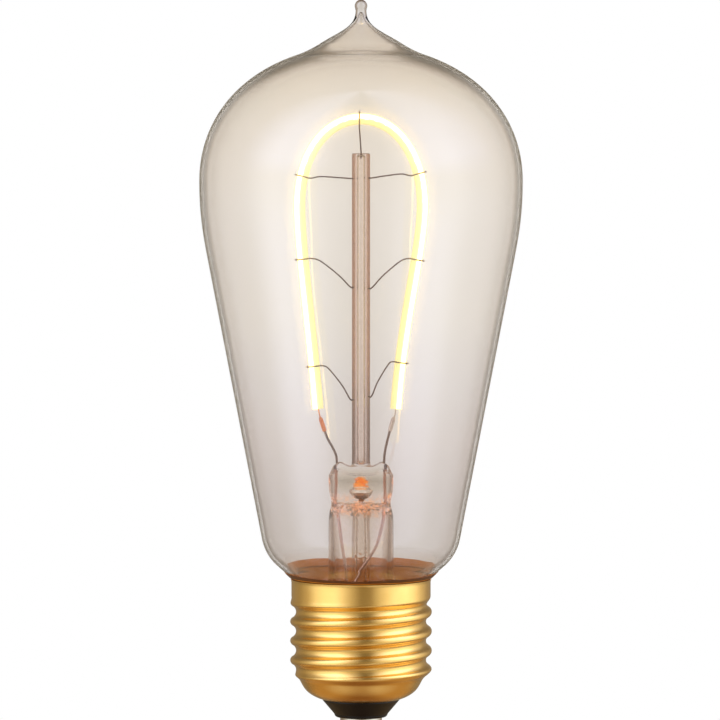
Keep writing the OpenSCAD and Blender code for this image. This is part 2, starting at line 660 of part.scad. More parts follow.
module lead_wire_right()
    color([0.7, 0.68, 0.64])
        wire([[seal_right_x, 0, lead_foot_z], [seal_right_x, 0, press_top_z + 1.1],
              [seal_right_x + 0.2, 0, press_top_z + 2.6],
              tab_point(loop_last, tab_l + 0.9, 0), tab_point(loop_last, tab_l - 0.4, weld_fit),
              tab_point(loop_last, 2.0, weld_fit)], lead_wire_d);

module seal_wire_left()
    color([0.8, 0.42, 0.3])
        translate([-seal_left_x, 0, press_z + 0.9])
            cylinder(d = seal_wire_d, h = lead_foot_z - press_z - 0.9);

module seal_wire_right()
    color([0.8, 0.42, 0.3])
        translate([seal_right_x, 0, press_z + 0.9])
            cylinder(d = seal_wire_d, h = lead_foot_z - press_z - 0.9);

tail_end_left = [-3.6, -5];
tail_end_right = [1.6, -5.4];
board_top_z = board_z + board_t;
// Routes of the copper leads inside the flare, [x, y, z] from under the press to above the board.
tail_route_left = [[-4, -1.2, 38.4], [-3.2, -2.7, 33], [-2.6, -3, 28], [-3, -3.6, 20], [-3.6, -5, 14.6]];
tail_route_right = [[3.9, -1.5, 38.2], [3.3, -2.9, 33.6], [1, -3.2, 30.2], [-0.9, -3.4, 27.2],
                    [0.5, -4, 21], [1.6, -5.4, 14.6]];
function tail_points(x, route, end) =
    concat([[x, 0, press_z + 0.9], [x, 0, press_z - 0.6]], route, [[end[0], end[1], board_z]]);

module tail_wire_left()
    color([0.8, 0.42, 0.26])
        wire(tail_points(-seal_left_x, tail_route_left, tail_end_left), tail_wire_d);

module tail_wire_right()
    color([0.8, 0.42, 0.26])
        wire(tail_points(seal_right_x, tail_route_right, tail_end_right), tail_wire_d);

// The screw cap
function shell_ring(p, wall) =
    [for (k = [0 : shell_sides - 1])
     let (a = 360 * k / shell_sides, r = shell_r(p, a, wall))
     [r * cos(a), r * sin(a), p[1]]];
// Two triangles between four points that run round a face.
function halves(a, b, c, d) = [[a, b, c], [a, c, d]];

module screw_shell()
    color([0.85, 0.68, 0.32]) {
        rows = len(shell_outer);
        points = concat([for (p = shell_outer) each shell_ring(p, 0)],
                        [for (p = shell_inner) each shell_ring(p, shell_wall)]);
        base = rows * shell_sides;
        last = base - shell_sides;
        faces = [for (k = [0 : shell_sides - 1])
                 let (next = (k + 1) % shell_sides)
                 each concat(
                     [for (i = [0 : rows - 2])
                      let (a = i * shell_sides, b = a + shell_sides)
                      each concat(halves(a + k, b + k, b + next, a + next),
                                  halves(base + a + k, base + a + next, base + b + next, base + b + k))],
                     halves(k, next, base + next, base + k),
                     halves(last + k, base + last + k, base + last + next, last + next))];
        polyhedron(points, faces, convexity = 10);
    }

// The black glass insulator fills the bowl of the shell and tapers below it to the contact.
shell_fit = 0.04;
mouth_fit = 0.12;
insulator_edge_r = 0.5;
insulator_wall = [for (i = [12 : -1 : 0]) let (p = bowl_inner(i / 12, shell_wall + shell_fit))
                  if (p[1] < insulator_top_z - 0.3) p];
insulator_edge = [for (a = [-90 : 22.5 : -22.5])
                  [insulator_tip_r - insulator_edge_r * (1 - cos(a)),
                   insulator_z + insulator_edge_r * (1 + sin(a))]];

module cap_insulator()
    color([0.08, 0.07, 0.07])
        rotate_extrude()
            polygon(concat([[wire_hole_r, insulator_z]], insulator_edge,
                           [[insulator_tip_r + 0.06, insulator_z + insulator_edge_r + 0.1],
                            [shell_mouth_r - mouth_fit, shell_mouth_z - 0.2],
                            [shell_mouth_r - mouth_fit, insulator_wall[0][1]]],
                           insulator_wall,
                           [[insulator_wall[len(insulator_wall) - 1][0], insulator_top_z],
                            [wire_hole_r, insulator_top_z]]));

module centre_contact()
    color([0.8, 0.78, 0.72])
        rotate_extrude()
            polygon([[wire_hole_r, 0], [contact_r - 0.3, 0], [contact_r, 0.3], [contact_r, insulator_z],
                     [wire_hole_r, insulator_z]]);

module contact_solder()
    color([0.75, 0.75, 0.74])
        difference() {
            translate([0, 0, 0.1])
                cylinder(r = wire_hole_r, h = insulator_z + 0.5);
            translate([0, 0, contact_lead_end - 0.05])
                cylinder(d = cap_lead_d + 2 * seal_fit, h = insulator_z + 2 * cut_past);
        }

// The cement fills the collar outside the neck, wells up through the gap at the rim and sets as
// a thin bead on the brass and the glass.
cement_sink = 0.9;
cement_bottom_z = rim_z - cement_sink - cement_h;
bead_top_z = rim_z + bead_h;
bead_t = 0.1;
collar_bore_r = collar_r - shell_wall;
cement_inside = [for (i = [0 : len(outer_wall) - 1])
                 let (p = outer_wall[i] - cement_fit * wall_normal(outer_wall, i))
                 if (p[1] > cement_bottom_z + 0.2 && p[1] < bead_top_z) p];
mouth_slope = tan(shoulder_angle);
function glass_side(z, out) = [mouth_r + (z - mouth_z) * mouth_slope + out / cos(shoulder_angle), z];
cement_outside = [glass_side(bead_top_z, cement_fit), glass_side(bead_top_z - 0.1, cement_fit + bead_t),
                  glass_side(rim_z + 0.5, 1.5 * bead_t), [collar_r + rim_bell - 0.02, rim_z + 0.2],
                  [collar_r + rim_bell - 0.05, rim_z + cement_fit],
                  [collar_bore_r + rim_bell - cement_fit, rim_z + cement_fit],
                  [collar_bore_r + 0.6 * rim_bell - cement_fit, rim_z - 0.25],
                  [collar_bore_r - cement_fit, rim_z - 0.6],
                  [collar_bore_r - cement_fit, thread_fade_z + 0.1],
                  [root_r - shell_wall - cement_fit, cement_bottom_z]];
lead_slot = 1.1;

module basing_cement()
    color([0.45, 0.24, 0.12])
        difference() {
            rotate_extrude()
                polygon(concat([[neck_r + cement_fit, cement_bottom_z]], cement_inside, cement_outside));
            rotate([0, 0, shell_lead_angle])
                translate([collar_bore_r - lead_slot, -cap_lead_d / 2 - seal_fit, cement_bottom_z - cut_past])
                    cube([lead_slot + cut_past, cap_lead_d + 2 * seal_fit, cement_h + cut_past]);
        }

// The driver inside the cap
sleeve_bore_r = sleeve_r - sleeve_wall;
sleeve_foot_r = sleeve_r - 0.65;
sleeve_foot_bore_r = sleeve_bore_r - 0.8;
sleeve_step_z = insulator_top_z + 1.2;
lead_gate_w = 1;
board_r = sleeve_bore_r - board_fit;
shell_lead_angle = 60;

module insulating_sleeve()
    color([0.9, 0.9, 0.88])
        difference() {
            union() {
                translate([0, 0, insulator_top_z])
                    cylinder(r = sleeve_foot_r, h = board_z - insulator_top_z);
                translate([0, 0, sleeve_step_z])
                    cylinder(r = sleeve_r, h = sleeve_top_z - sleeve_step_z);
            }
            translate([0, 0, insulator_top_z - cut_past])
                cylinder(r = sleeve_foot_bore_r, h = board_z - insulator_top_z + 2 * cut_past);
            translate([0, 0, board_z])
                cylinder(r = sleeve_bore_r, h = sleeve_top_z);
            rotate([0, 0, shell_lead_angle])
                translate([sleeve_bore_r - sleeve_wall / 2, -lead_gate_w / 2, board_z])
                    cube([sleeve_wall + cut_past, lead_gate_w, sleeve_top_z]);
        }

resistor_r = resistor_d / 2;
resistor_drop = 2.1;
resistor_z = board_z - resistor_drop;
resistor_x = 0.6;
resistor_lead_x = 4.9;
shell_lead_r = 8.6;

// The four leads that are soldered to the board, [x, y, diameter].
board_leads = [[tail_end_left[0], tail_end_left[1], tail_wire_d],
               [tail_end_right[0], tail_end_right[1], tail_wire_d],
               [resistor_lead_x, 0, cap_lead_d],
               [shell_lead_r * cos(shell_lead_angle), shell_lead_r * sin(shell_lead_angle), cap_lead_d]];

module driver_board()
    color([0.1, 0.35, 0.2])
        difference() {
            translate([0, 0, board_z])
                cylinder(r = board_r, h = board_t);
            for (p = board_leads)
                translate([p[0], p[1], board_z - cut_past])
                    cylinder(d = p[2] + 2 * seal_fit, h = board_t + 2 * cut_past);
        }

joint_foot_r = 0.75;
joint_top_r = 0.4;
joint_h = 0.6;

module board_solder()
    color([0.75, 0.75, 0.74])
        for (p = board_leads)
            translate([p[0], p[1], board_top_z])
                difference() {
                    cylinder(r1 = joint_foot_r, r2 = joint_top_r, h = joint_h);
                    translate([0, 0, -cut_past])
                        cylinder(d = p[2] + 2 * seal_fit, h = joint_h + 2 * cut_past);
                }

// Places of the parts on the board, [x, y].
bridge_at = [-5.6, 1.2];
driver_chip_at = [5.4, -3.9];
inductor_at = [5.6, 2.4];
capacitor_y = 5.4;
chip_resistor_at = [[-1.2, -8], [0.6, -2.9], [-6.4, -4.4], [-4.4, -7.6]];
chip_resistor = [1.6, 0.8, 0.5];

// A chip package with two rows of legs.
module package(l, w, h, legs, leg_w) {
    translate([-l / 2, -w / 2, 0.1])
        cube([l, w, h - 0.1]);
    step = (l - 0.8) / max(1, legs - 1);
    for (s = [-1, 1], i = [0 : legs - 1])
        translate([(i - (legs - 1) / 2) * step - leg_w / 2, s > 0 ? w / 2 - 0.2 : -w / 2 - 0.8, 0])
            cube([leg_w, 1, 0.25]);
}

module bridge_rectifier()
    color([0.12, 0.12, 0.12])
        translate([bridge_at[0], bridge_at[1], board_top_z])
            rotate([0, 0, 90])
                package(bridge_l, bridge_w, 2.4, 2, 0.7);

module driver_chip()
    color([0.14, 0.14, 0.14])
        translate([driver_chip_at[0], driver_chip_at[1], board_top_z])
            rotate([0, 0, 90])
                package(chip_body_l, chip_body_w - 0.8, 1.5, 4, 0.4);

can_r = capacitor_d / 2;
can_edge = 0.3;

module smoothing_capacitor()
    color([0.1, 0.12, 0.2])
        translate([-capacitor_l / 2, capacitor_y, board_top_z + can_r])
            rotate([0, 90, 0])
                rotate_extrude()
                    polygon([[0, 0], [can_r - can_edge, 0], [can_r, can_edge], [can_r, 1],
                             [can_r - 0.2, 1.25], [can_r, 1.5], [can_r, capacitor_l - can_edge],
                             [can_r - can_edge, capacitor_l], [0, capacitor_l]]);

core_d = 0.45 * inductor_d;
flange_t = 0.8;

module inductor()
    color([0.2, 0.2, 0.2])
        translate([inductor_at[0], inductor_at[1], board_top_z])
            union() {
                cylinder(d = inductor_d, h = flange_t);
                cylinder(d = core_d, h = inductor_h);
                translate([0, 0, inductor_h - flange_t])
                    cylinder(d = inductor_d, h = flange_t);
            }

module inductor_winding()
    color([0.75, 0.35, 0.2])
        translate([inductor_at[0], inductor_at[1], board_top_z + flange_t])
            difference() {
                cylinder(d = inductor_d - 0.5, h = inductor_h - 2 * flange_t);
                translate([0, 0, -cut_past])
                    cylinder(d = core_d, h = inductor_h + 2 * cut_past);
            }

module fusible_resistor()
    color([0.35, 0.55, 0.6])
        translate([resistor_x - resistor_l / 2, 0, resistor_z])
            rotate([0, 90, 0])
                rotate_extrude()
                    polygon([[0, 0], [resistor_r - 0.3, 0], [resistor_r, 0.35], [resistor_r, 1.2],
                             [resistor_r - 0.15, 1.5], [resistor_r - 0.15, resistor_l - 1.5],
                             [resistor_r, resistor_l - 1.2], [resistor_r, resistor_l - 0.35],
                             [resistor_r - 0.3, resistor_l], [0, resistor_l]]);

module chip_resistors()
    color([0.15, 0.15, 0.16])
        for (p = chip_resistor_at)
            translate([p[0] - chip_resistor[0] / 2, p[1] - chip_resistor[1] / 2, board_top_z])
                cube(chip_resistor);

resistor_left_x = resistor_x - resistor_l / 2;
resistor_right_x = resistor_x + resistor_l / 2;
contact_lead_end = 0.55;
// Route of the lead to the shell, [radius, height]: out over the edge of the sleeve, up beside
// the thread and into the cement.
lead_gap = 0.14;
lead_rise_r = root_r - shell_wall - lead_gap - cap_lead_d / 2;
lead_bend_z = sleeve_top_z - board_top_z;
shell_lead_route = [[sleeve_bore_r - cap_lead_d / 2, board_top_z + 0.4 * lead_bend_z],
                    [sleeve_r + cap_lead_d, board_top_z + 0.64 * lead_bend_z],
                    [lead_rise_r, sleeve_top_z + 1.5 * cap_lead_d],
                    [lead_rise_r, cement_bottom_z - 5.75 * cap_lead_d],
                    [lead_rise_r + 0.9 * cap_lead_d, cement_bottom_z - 1.25 * cap_lead_d]];
shell_lead_end_r = collar_bore_r - cap_lead_d / 2 - cement_fit;

module contact_lead()
    color([0.8, 0.42, 0.26]) {
        wire([[resistor_left_x, 0, resistor_z], [resistor_left_x - 0.7, 0, resistor_z - 0.1],
              [resistor_left_x - 1.1, 0, resistor_z - 0.9],
              [resistor_left_x - 0.4, 0, insulator_top_z + 0.6],
              [-0.7, 0, insulator_top_z + 0.5], [0, 0, insulator_top_z - 0.4],
              [0, 0, insulator_z + 1], [0, 0, contact_lead_end]], cap_lead_d);
        wire([[resistor_right_x, 0, resistor_z], [resistor_lead_x - 0.5, 0, resistor_z + 0.05],
              [resistor_lead_x, 0, resistor_z + 0.7], [resistor_lead_x, 0, board_top_z + 0.5]],
             cap_lead_d);
    }

module shell_lead()
    color([0.8, 0.42, 0.26])
        rotate([0, 0, shell_lead_angle])
            wire(concat([[shell_lead_r, 0, board_z], [shell_lead_r, 0, board_top_z + board_t]],
                        [for (p = shell_lead_route) [p[0], 0, p[1]]],
                        [[shell_lead_end_r, 0, cement_bottom_z + 0.4 * cement_h],
                         [shell_lead_end_r, 0, rim_z - 0.4 * cement_h]]), cap_lead_d);

glass_envelope();
stem_flare();
exhaust_tube();
centre_rod();
top_support_wire();
upper_left_support_wire();
upper_right_support_wire();
middle_left_support_wire();
middle_right_support_wire();
lower_left_support_wire();
lower_right_support_wire();
filament_outer_phosphor();
filament_inner_phosphor();
filament_base();
led_chips();
filament_tab_left();
filament_tab_right();
lead_wire_left();
lead_wire_right();
seal_wire_left();
seal_wire_right();
tail_wire_left();
tail_wire_right();
screw_shell();
cap_insulator();
centre_contact();
contact_solder();
basing_cement();
insulating_sleeve();
driver_board();
board_solder();
bridge_rectifier();
driver_chip();
smoothing_capacitor();
inductor();
inductor_winding();
fusible_resistor();
chip_resistors();
contact_lead();
shell_lead();
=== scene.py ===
import math

import bpy
import numpy as np
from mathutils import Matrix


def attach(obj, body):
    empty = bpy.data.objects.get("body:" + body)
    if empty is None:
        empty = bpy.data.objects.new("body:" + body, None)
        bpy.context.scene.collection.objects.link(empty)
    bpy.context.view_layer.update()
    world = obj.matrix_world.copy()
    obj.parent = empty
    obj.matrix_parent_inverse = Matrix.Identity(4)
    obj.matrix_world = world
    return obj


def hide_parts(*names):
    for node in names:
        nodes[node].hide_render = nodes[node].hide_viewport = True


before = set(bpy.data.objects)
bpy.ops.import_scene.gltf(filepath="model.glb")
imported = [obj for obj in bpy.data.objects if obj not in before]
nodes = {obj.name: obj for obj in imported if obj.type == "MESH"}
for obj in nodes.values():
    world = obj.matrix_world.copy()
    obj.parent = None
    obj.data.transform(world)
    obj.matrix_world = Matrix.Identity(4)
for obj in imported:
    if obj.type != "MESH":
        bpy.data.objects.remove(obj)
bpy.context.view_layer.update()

# The screw shell.
# The E27 cap: a thin brass cup pressed from sheet, with a round right-hand thread rolled into it,
# a plain collar above and a bowl turned in below. It is cemented over the neck of the glass.
MM = 0.001
# A crest passes angle 0 at PHASE_Z, and its arc takes CREST_SHARE of the pitch.
PITCH, CREST_R, THREAD_H, PHASE_Z, CREST_SHARE = 3.62, 13.2, 1.08, 14.0, 0.42
# The collar is plain for PLAIN_H and bells out over its last RIM_H.
COLLAR_R, RIM_Z, RIM_H, RIM_BELL, PLAIN_H, SHELL_WALL = 12.975, 27.4, 0.6, 0.15, 3.0, 0.25
# The thread fades out at its top over RUN_OUT, and starts at its foot over RUN_IN.
THREAD_TOP, RUN_OUT, THREAD_FOOT, RUN_IN = RIM_Z - 3.1, 2.0, 8.55, 2.1
BOWL = [(12.12, 9.5), (10.75, 8.0), (11.2, 6.2), (7.3, 4.95)]


def bezier(points, t):
    """Points on a cubic curve, for an array t from 0 to 1."""
    p, t = np.array(points, float), np.atleast_1d(t)[:, None]
    return (1 - t) ** 3 * p[0] + 3 * (1 - t) ** 2 * t * p[1] + 3 * (1 - t) * t**2 * p[2] + t**3 * p[3]


def ease(a, b, x):
    """Rises smoothly from 0 at a to 1 at b."""
    t = np.clip((x - a) / (b - a), 0, 1)
    return t * t * (3 - 2 * t)


def headings(line):
    """The unit direction of a line at each of its points."""
    d = np.gradient(line, axis=0)
    return d / np.linalg.norm(d, axis=1)[:, None]


def offset(outline, distance):
    """An open outline moved sideways by distance, to its left as it runs."""
    d = headings(outline)
    return outline + np.atleast_1d(distance)[:, None] * np.column_stack([-d[:, 1], d[:, 0]])


def mesh_object(name, vertices, faces, sharp=None):
    """A smooth-shaded object from points in mm. Edges that turn by more than sharp degrees stay sharp."""
    mesh = bpy.data.meshes.new(name)
    mesh.from_pydata([tuple(v) for v in np.array(vertices) * MM], [], faces)
    mesh.polygons.foreach_set("use_smooth", [True] * len(mesh.polygons))
    if sharp:
        mesh.set_sharp_from_angle(angle=math.radians(sharp))
    obj = bpy.data.objects.new(name, mesh)
    bpy.context.scene.collection.objects.link(obj)
    return obj


def rings(name, loops, closed=False, sharp=None, flip=False):
    """Skins a stack of loops of points. closed joins the last to the first, and a loop of no size is one
    point."""
    count = len(loops[0])
    vertices, starts, single = [], [], []
    for loop in loops:
        starts.append(len(vertices))
        single.append(np.ptp(loop, axis=0).max() < 1e-9)
        vertices += [loop[0]] if single[-1] else list(loop)
    faces = []
    pairs = [(i, i + 1) for i in range(len(loops) - 1)] + ([(len(loops) - 1, 0)] if closed else [])
    for a, b in pairs:
        for k in range(count):
            ka, ja = (0, 0) if single[a] else (k, (k + 1) % count)
            kb, jb = (0, 0) if single[b] else (k, (k + 1) % count)
            quad = (starts[a] + ka, starts[a] + ja, starts[b] + jb, starts[b] + kb)
            face = list(dict.fromkeys(quad))
            if len(face) > 2:
                faces.append(face[::-1] if flip else face)
    return mesh_object(name, vertices, faces, sharp)


def circle(r, z, sides):
    """A level loop. r and z may be one number each, or one for each point."""
    a = np.linspace(0, 2 * math.pi, sides, endpoint=False)
    return np.column_stack([r * np.cos(a), r * np.sin(a), np.broadcast_to(z, (sides,))])


def lathe(name, outline, sides=160, closed=False, sharp=None, flip=False):
    """Turns an outline of (radius, height) about the axis."""
    return rings(name, [circle(r, z, sides) for r, z in outline], closed, sharp, flip)


def joined(name, pieces):
    """Several meshes as one object, in the order given."""
    bpy.ops.object.select_all(action="DESELECT")
    for piece in pieces:
        piece.select_set(True)
    bpy.context.view_layer.objects.active = pieces[0]
    bpy.ops.object.join()
    pieces[0].name = pieces[0].data.name = name
    return pieces[0]


def place(piece, slot, *nodes):
    """Rides a drawn piece on the lamp in place of CAD nodes."""
    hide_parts(*nodes)
    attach(piece, "root")


def thread_drop(u):
    """How far the thread lies under its crests, u turns from one: a tight arc, then a wide one."""
    both = ((PITCH / 2) ** 2 + THREAD_H**2) / (2 * THREAD_H)
    tight, wide = CREST_SHARE * both, (1 - CREST_SHARE) * both
    w = np.abs(u - np.round(u)) * PITCH
    near = tight - np.sqrt(np.maximum(tight**2 - w**2, 0))
    far = THREAD_H - wide + np.sqrt(np.maximum(wide**2 - (PITCH / 2 - w) ** 2, 0))
    return np.where(w <= CREST_SHARE * PITCH / 2, near, far)


def shell_loop(r, z, wall, sides=224):
    """One round of the shell: plain at radius r where the thread has faded, else on the thread."""
    weight = ease(THREAD_TOP, THREAD_TOP - RUN_OUT, z) * ease(THREAD_FOOT, THREAD_FOOT + RUN_IN, z)
    threaded = CREST_R - wall - thread_drop((z - PHASE_Z) / PITCH - np.arange(sides) / sides)
    return circle((1 - weight) * r + weight * threaded, z, sides)


rim = [(COLLAR_R + RIM_BELL * t**1.5, RIM_Z - RIM_H + RIM_H * t) for t in np.linspace(1, 0, 8)]
collar = [(COLLAR_R, z) for z in np.linspace(RIM_Z - RIM_H - 0.2, RIM_Z - PLAIN_H, 10)]
thread = [(COLLAR_R if z > RIM_Z - 2 * PLAIN_H else CREST_R - THREAD_H, z)
          for z in np.linspace(THREAD_TOP, BOWL[0][1] + 0.1, 110)]
bowl = bezier(BOWL, np.linspace(0.02, 1, 36))
bowl_inside = offset(bezier(BOWL, np.linspace(0, 1, 37)), -SHELL_WALL)[1:]
outside = [shell_loop(r, z, 0) for r, z in [*rim, *collar, *thread, *bowl]]
inside = [shell_loop(r - SHELL_WALL, z, SHELL_WALL) for r, z in rim + collar + thread]
inside += [shell_loop(r, z, SHELL_WALL) for r, z in bowl_inside]
lip = [0.5 * (outside[-1] + inside[-1])]
brass_shell = rings("screw_shell_brass", outside + lip + inside[::-1], closed=True, sharp=50, flip=True)
place(brass_shell, "cap_brass", "screw_shell")


def linear(code):
    """An sRGB hex colour as linear red, green, blue and alpha."""
    channels = [int(code[i:i + 2], 16) / 255 for i in (0, 2, 4)]
    return tuple(c / 12.92 if c <= 0.04045 else ((c + 0.055) / 1.055) ** 2.4 for c in channels) + (1.0,)


def add(tree, kind, sockets=None, stops=(), **settings):
    """Adds a node. Each of its sockets, by name or number, takes a value, a hex colour, another node for that
    node's first output, or (node, output). stops are the places and colours of a colour ramp."""
    node = tree.nodes.new("ShaderNode" + kind)
    for key, value in settings.items():
        setattr(node, key, value)
    for key, value in (sockets or {}).items():
        if isinstance(value, bpy.types.Node):
            value = (value, [output.enabled for output in value.outputs].index(True))
        if isinstance(value, tuple) and isinstance(value[0], bpy.types.Node):
            tree.links.new(value[0].outputs[value[1]], node.inputs[key])
        else:
            node.inputs[key].default_value = linear(value) if isinstance(value, str) else value
    while stops and len(node.color_ramp.elements) < len(stops):
        node.color_ramp.elements.new(0.5)
    for i, (position, colour) in enumerate(stops):
        node.color_ramp.elements[i].position = position
        node.color_ramp.elements[i].color = linear(colour) if isinstance(colour, str) else colour
    return node


def new_material(name):
    """An empty material and its node tree."""
    material = bpy.data.materials.new(name)
    material.use_nodes = True
    material.node_tree.nodes.clear()
    return material, material.node_tree


def mottle(tree, size, detail=3.0):
    """A value that wanders over a piece in patches of size mm, which may be (x, y, z)."""
    spot = add(tree, "TexCoord")
    scale = tuple(np.broadcast_to(1 / (MM * np.array(size)), 3))
    sized = add(tree, "Mapping", {"Vector": (spot, "Object"), "Scale": scale})
    return add(tree, "TexNoise", {"Vector": sized, "Scale": 1.0, "Detail": detail})


def wear(obj, *materials):
    """Gives a piece these materials in place of its own."""
    obj.data.materials.clear()
    for material in materials:
        obj.data.materials.append(material)


# Pressed brass under clear lacquer: a lemon-gold mirror with a soft edge, a slow drift of tone, and
# faint rolling marks that run round the shell.
lacquered_brass, tree = new_material("lacquered pressed brass")
marks = mottle(tree, (2.083, 2.083, 0.1389))
tone = add(tree, "ValToRGB", {0: mottle(tree, 3.85, 4.0)}, [(0.3, "F0C470"), (0.75, "F7CE7D")])
gloss = add(tree, "MapRange", {"Value": marks, "To Min": 0.14, "To Max": 0.25})
rolled = add(tree, "Bump", {"Height": marks, "Strength": 0.06, "Distance": 0.05 * MM})
brass = add(tree, "BsdfPrincipled", {"Base Color": tone, "Roughness": gloss, "Normal": rolled,
                                     "Metallic": 1.0})
add(tree, "OutputMaterial", {"Surface": brass})
wear(brass_shell, lacquered_brass)

# The insulator and the centre contact.
# Black glass (vitrite) is poured into the bowl of the shell and holds the centre contact, a tinned
# brass eyelet that is pressed into it and filled with solder round the lead.
# Vitrite sets with a soft shine and shallow flow ripples.
vitrite, tree = new_material("poured black vitrite glass")
swirl = mottle(tree, 2.86)
pour = add(tree, "Bump", {"Height": swirl, "Strength": 0.15, "Distance": 0.3 * MM})
shine = add(tree, "MapRange", {"Value": swirl, "To Min": 0.28, "To Max": 0.45})
black = add(tree, "BsdfPrincipled", {"Base Color": "0E0704", "Normal": pour, "Roughness": shine, "IOR": 1.34})
add(tree, "OutputMaterial", {"Surface": black})
wear(nodes["cap_insulator"], vitrite)


def plain(name, low, high, size, roughness, metallic=0.0, bump=0.0, glow=0.0):
    """A finish whose colour wanders between two in patches of size mm, with bump mm of relief of that grain.
    glow is the strength of a painted glow it gives of itself, or a function of the tree that gives it."""
    material, tree = new_material(name)
    grain = mottle(tree, size, 4.0)
    colour = add(tree, "Mix", {0: grain, 6: low, 7: high}, data_type="RGBA")
    sockets = {"Base Color": colour, "Roughness": roughness, "Metallic": metallic}
    if glow:
        sockets |= {"Emission Color": colour, "Emission Strength": glow(tree) if callable(glow) else glow}
    if bump:
        sockets["Normal"] = add(tree, "Bump", {"Height": grain, "Strength": 0.5, "Distance": bump * MM})
    add(tree, "OutputMaterial", {"Surface": add(tree, "BsdfPrincipled", sockets)})
    return material


# Hot-dipped tin over brass: a pale, slightly warm metal with soft patches of dullness.
tinned_brass = plain("tinned brass eyelet", "B9B0A2", "D8D2C6", 1.11, 0.28, 1.0, 0.02)
wear(nodes["centre_contact"], tinned_brass)
# Soft solder, set bright and a little grainy.
soft_solder = plain("soft solder", "B4B4B2", "D0D0CC", 0.714, 0.3, 1.0, 0.04)
wear(nodes["contact_solder"], soft_solder)
wear(nodes["board_solder"], soft_solder)

# The driver.
# Inside the cap a moulded sleeve stands on the insulator and holds a round board with the driver
# parts. It is hidden here, so these are the parts such a lamp usually holds.
driver_looks = {
    "insulating_sleeve": plain("moulded white polycarbonate", "DEDCD5", "ECEAE4", 3.3, 0.45),
    "driver_board": plain("green solder mask on glass epoxy", "1C4E33", "24603F", 1.25, 0.4, 0.0, 0.01),
    "bridge_rectifier": plain("black epoxy package", "17171A", "232326", 0.4, 0.6, 0.0, 0.01),
    "smoothing_capacitor": plain("dark blue shrink sleeve", "141B30", "1C2540", 2.5, 0.35),
    "inductor": plain("sintered ferrite", "2C2C2E", "3A3A3C", 0.4, 0.7, 0.0, 0.02),
    "inductor_winding": plain("enamelled winding wire", "8E4320", "B8602F", 0.33, 0.3, 1.0, 0.05),
    "fusible_resistor": plain("blue-green flameproof coating", "4C7A80", "5E9096", 0.83, 0.5, 0.0, 0.01),
}
for part, look in driver_looks.items():
    wear(nodes[part], look)
for part in ("driver_chip", "chip_resistors"):
    wear(nodes[part], driver_looks["bridge_rectifier"])

# The outline of the blown glass, which the cement follows.
# It runs from the sealed end of the neck over the shoulder, the cone, the belly and the crown to the
# drawn pip, as (radius, height) of its outer face.
NECK_R, NECK_SEAL, MOUTH_Z = 11.3, 19.0, 27.6
SHOULDER_R, SHOULDER_Z, BEND_R, CONE, MOUTH = 18.44, 34.9, 8.9, math.radians(10.9), math.radians(49)
BELLY_R, BELLY_Z, CONE_TOP, PIP_Z, PIP_R = 30.0, 101.5, 87.6, 133.84, 1.16
turn = np.linspace(MOUTH, CONE, 20)
shoulder = np.column_stack([SHOULDER_R - BEND_R * (math.cos(CONE) - np.cos(turn)),
                            SHOULDER_Z - BEND_R * (np.sin(turn) - math.sin(CONE))])
mouth_r = shoulder[0, 0] - (shoulder[0, 1] - MOUTH_Z) * math.tan(MOUTH)
cone_r = SHOULDER_R + (CONE_TOP - SHOULDER_Z) * math.tan(CONE)
neck_bend = [(NECK_R, 24), (NECK_R, 26), (mouth_r - 0.9 * math.sin(MOUTH), MOUTH_Z - 0.9 * math.cos(MOUTH)),
             (mouth_r, MOUTH_Z)]
belly_bend = [(cone_r, CONE_TOP), (cone_r + 5.5 * math.tan(CONE), CONE_TOP + 5.5), (BELLY_R, BELLY_Z - 4.9),
              (BELLY_R, BELLY_Z)]
CROWN_END = np.array([9.63, 125.5])
crown_bend = [(BELLY_R, BELLY_Z), (BELLY_R, BELLY_Z + 10.6), (23.3, 121.8), CROWN_END]
pip_bend = [CROWN_END, (4.7, 129.2), (1, 129.4), (1, 133)]
# The foot of the pip runs out softly into the crown.
foot_start, foot_end = bezier(crown_bend, 0.94)[0], bezier(pip_bend, 0.16)[0]
foot_bend = [foot_start, 0.4 * foot_start + 0.6 * CROWN_END, 0.4 * foot_end + 0.6 * CROWN_END, foot_end]
glass_line = np.vstack([
    [(NECK_R, z) for z in np.linspace(NECK_SEAL, 23.7, 4)],
    bezier(neck_bend, np.linspace(0, 1, 16)),
    np.linspace((mouth_r, MOUTH_Z), shoulder[0], 6)[1:-1],
    shoulder,
    np.linspace(shoulder[-1], (cone_r, CONE_TOP), 16)[1:-1],
    bezier(belly_bend, np.linspace(0, 1, 26)),
    bezier(crown_bend, np.linspace(0.02, 0.94, 66)),
    bezier(foot_bend, np.linspace(0.04, 0.96, 20)),
    bezier(pip_bend, np.linspace(0.16, 1, 28)),
])

# The basing cement.
# Brown phenolic cement is pressed between neck and collar and baked. It shows through the glass as a
# brown ring, and a thin dark bead of it has welled up over the rim.
CEMENT_Z, BEAD_TOP, CEMENT_FIT, CEMENT_SIDES = 22.9, 28.8, 0.03, 160
glass_face = offset(glass_line, -CEMENT_FIT)
below = glass_face[(glass_face[:, 1] > CEMENT_Z + 0.1) & (glass_face[:, 1] < MOUTH_Z)]
# The bead was squeezed out unevenly and stands higher at the back. Its waves are (rise, count, phase).
round_bead = np.linspace(0, 2 * math.pi, CEMENT_SIDES, endpoint=False)
bead_top = np.full(CEMENT_SIDES, BEAD_TOP)
for rise, count, phase in ((0.6, 1, 0), (0.06, 5, 1), (0.04, 9, 0), (0.03, 17, 2)):
    bead_top += rise * np.sin(count * round_bead + phase)


def on_glass(z, out):
    """Radius of a point beside the glass at a height above the mouth."""
    return mouth_r + (z - MOUTH_Z) * math.tan(MOUTH) + out / math.cos(MOUTH)


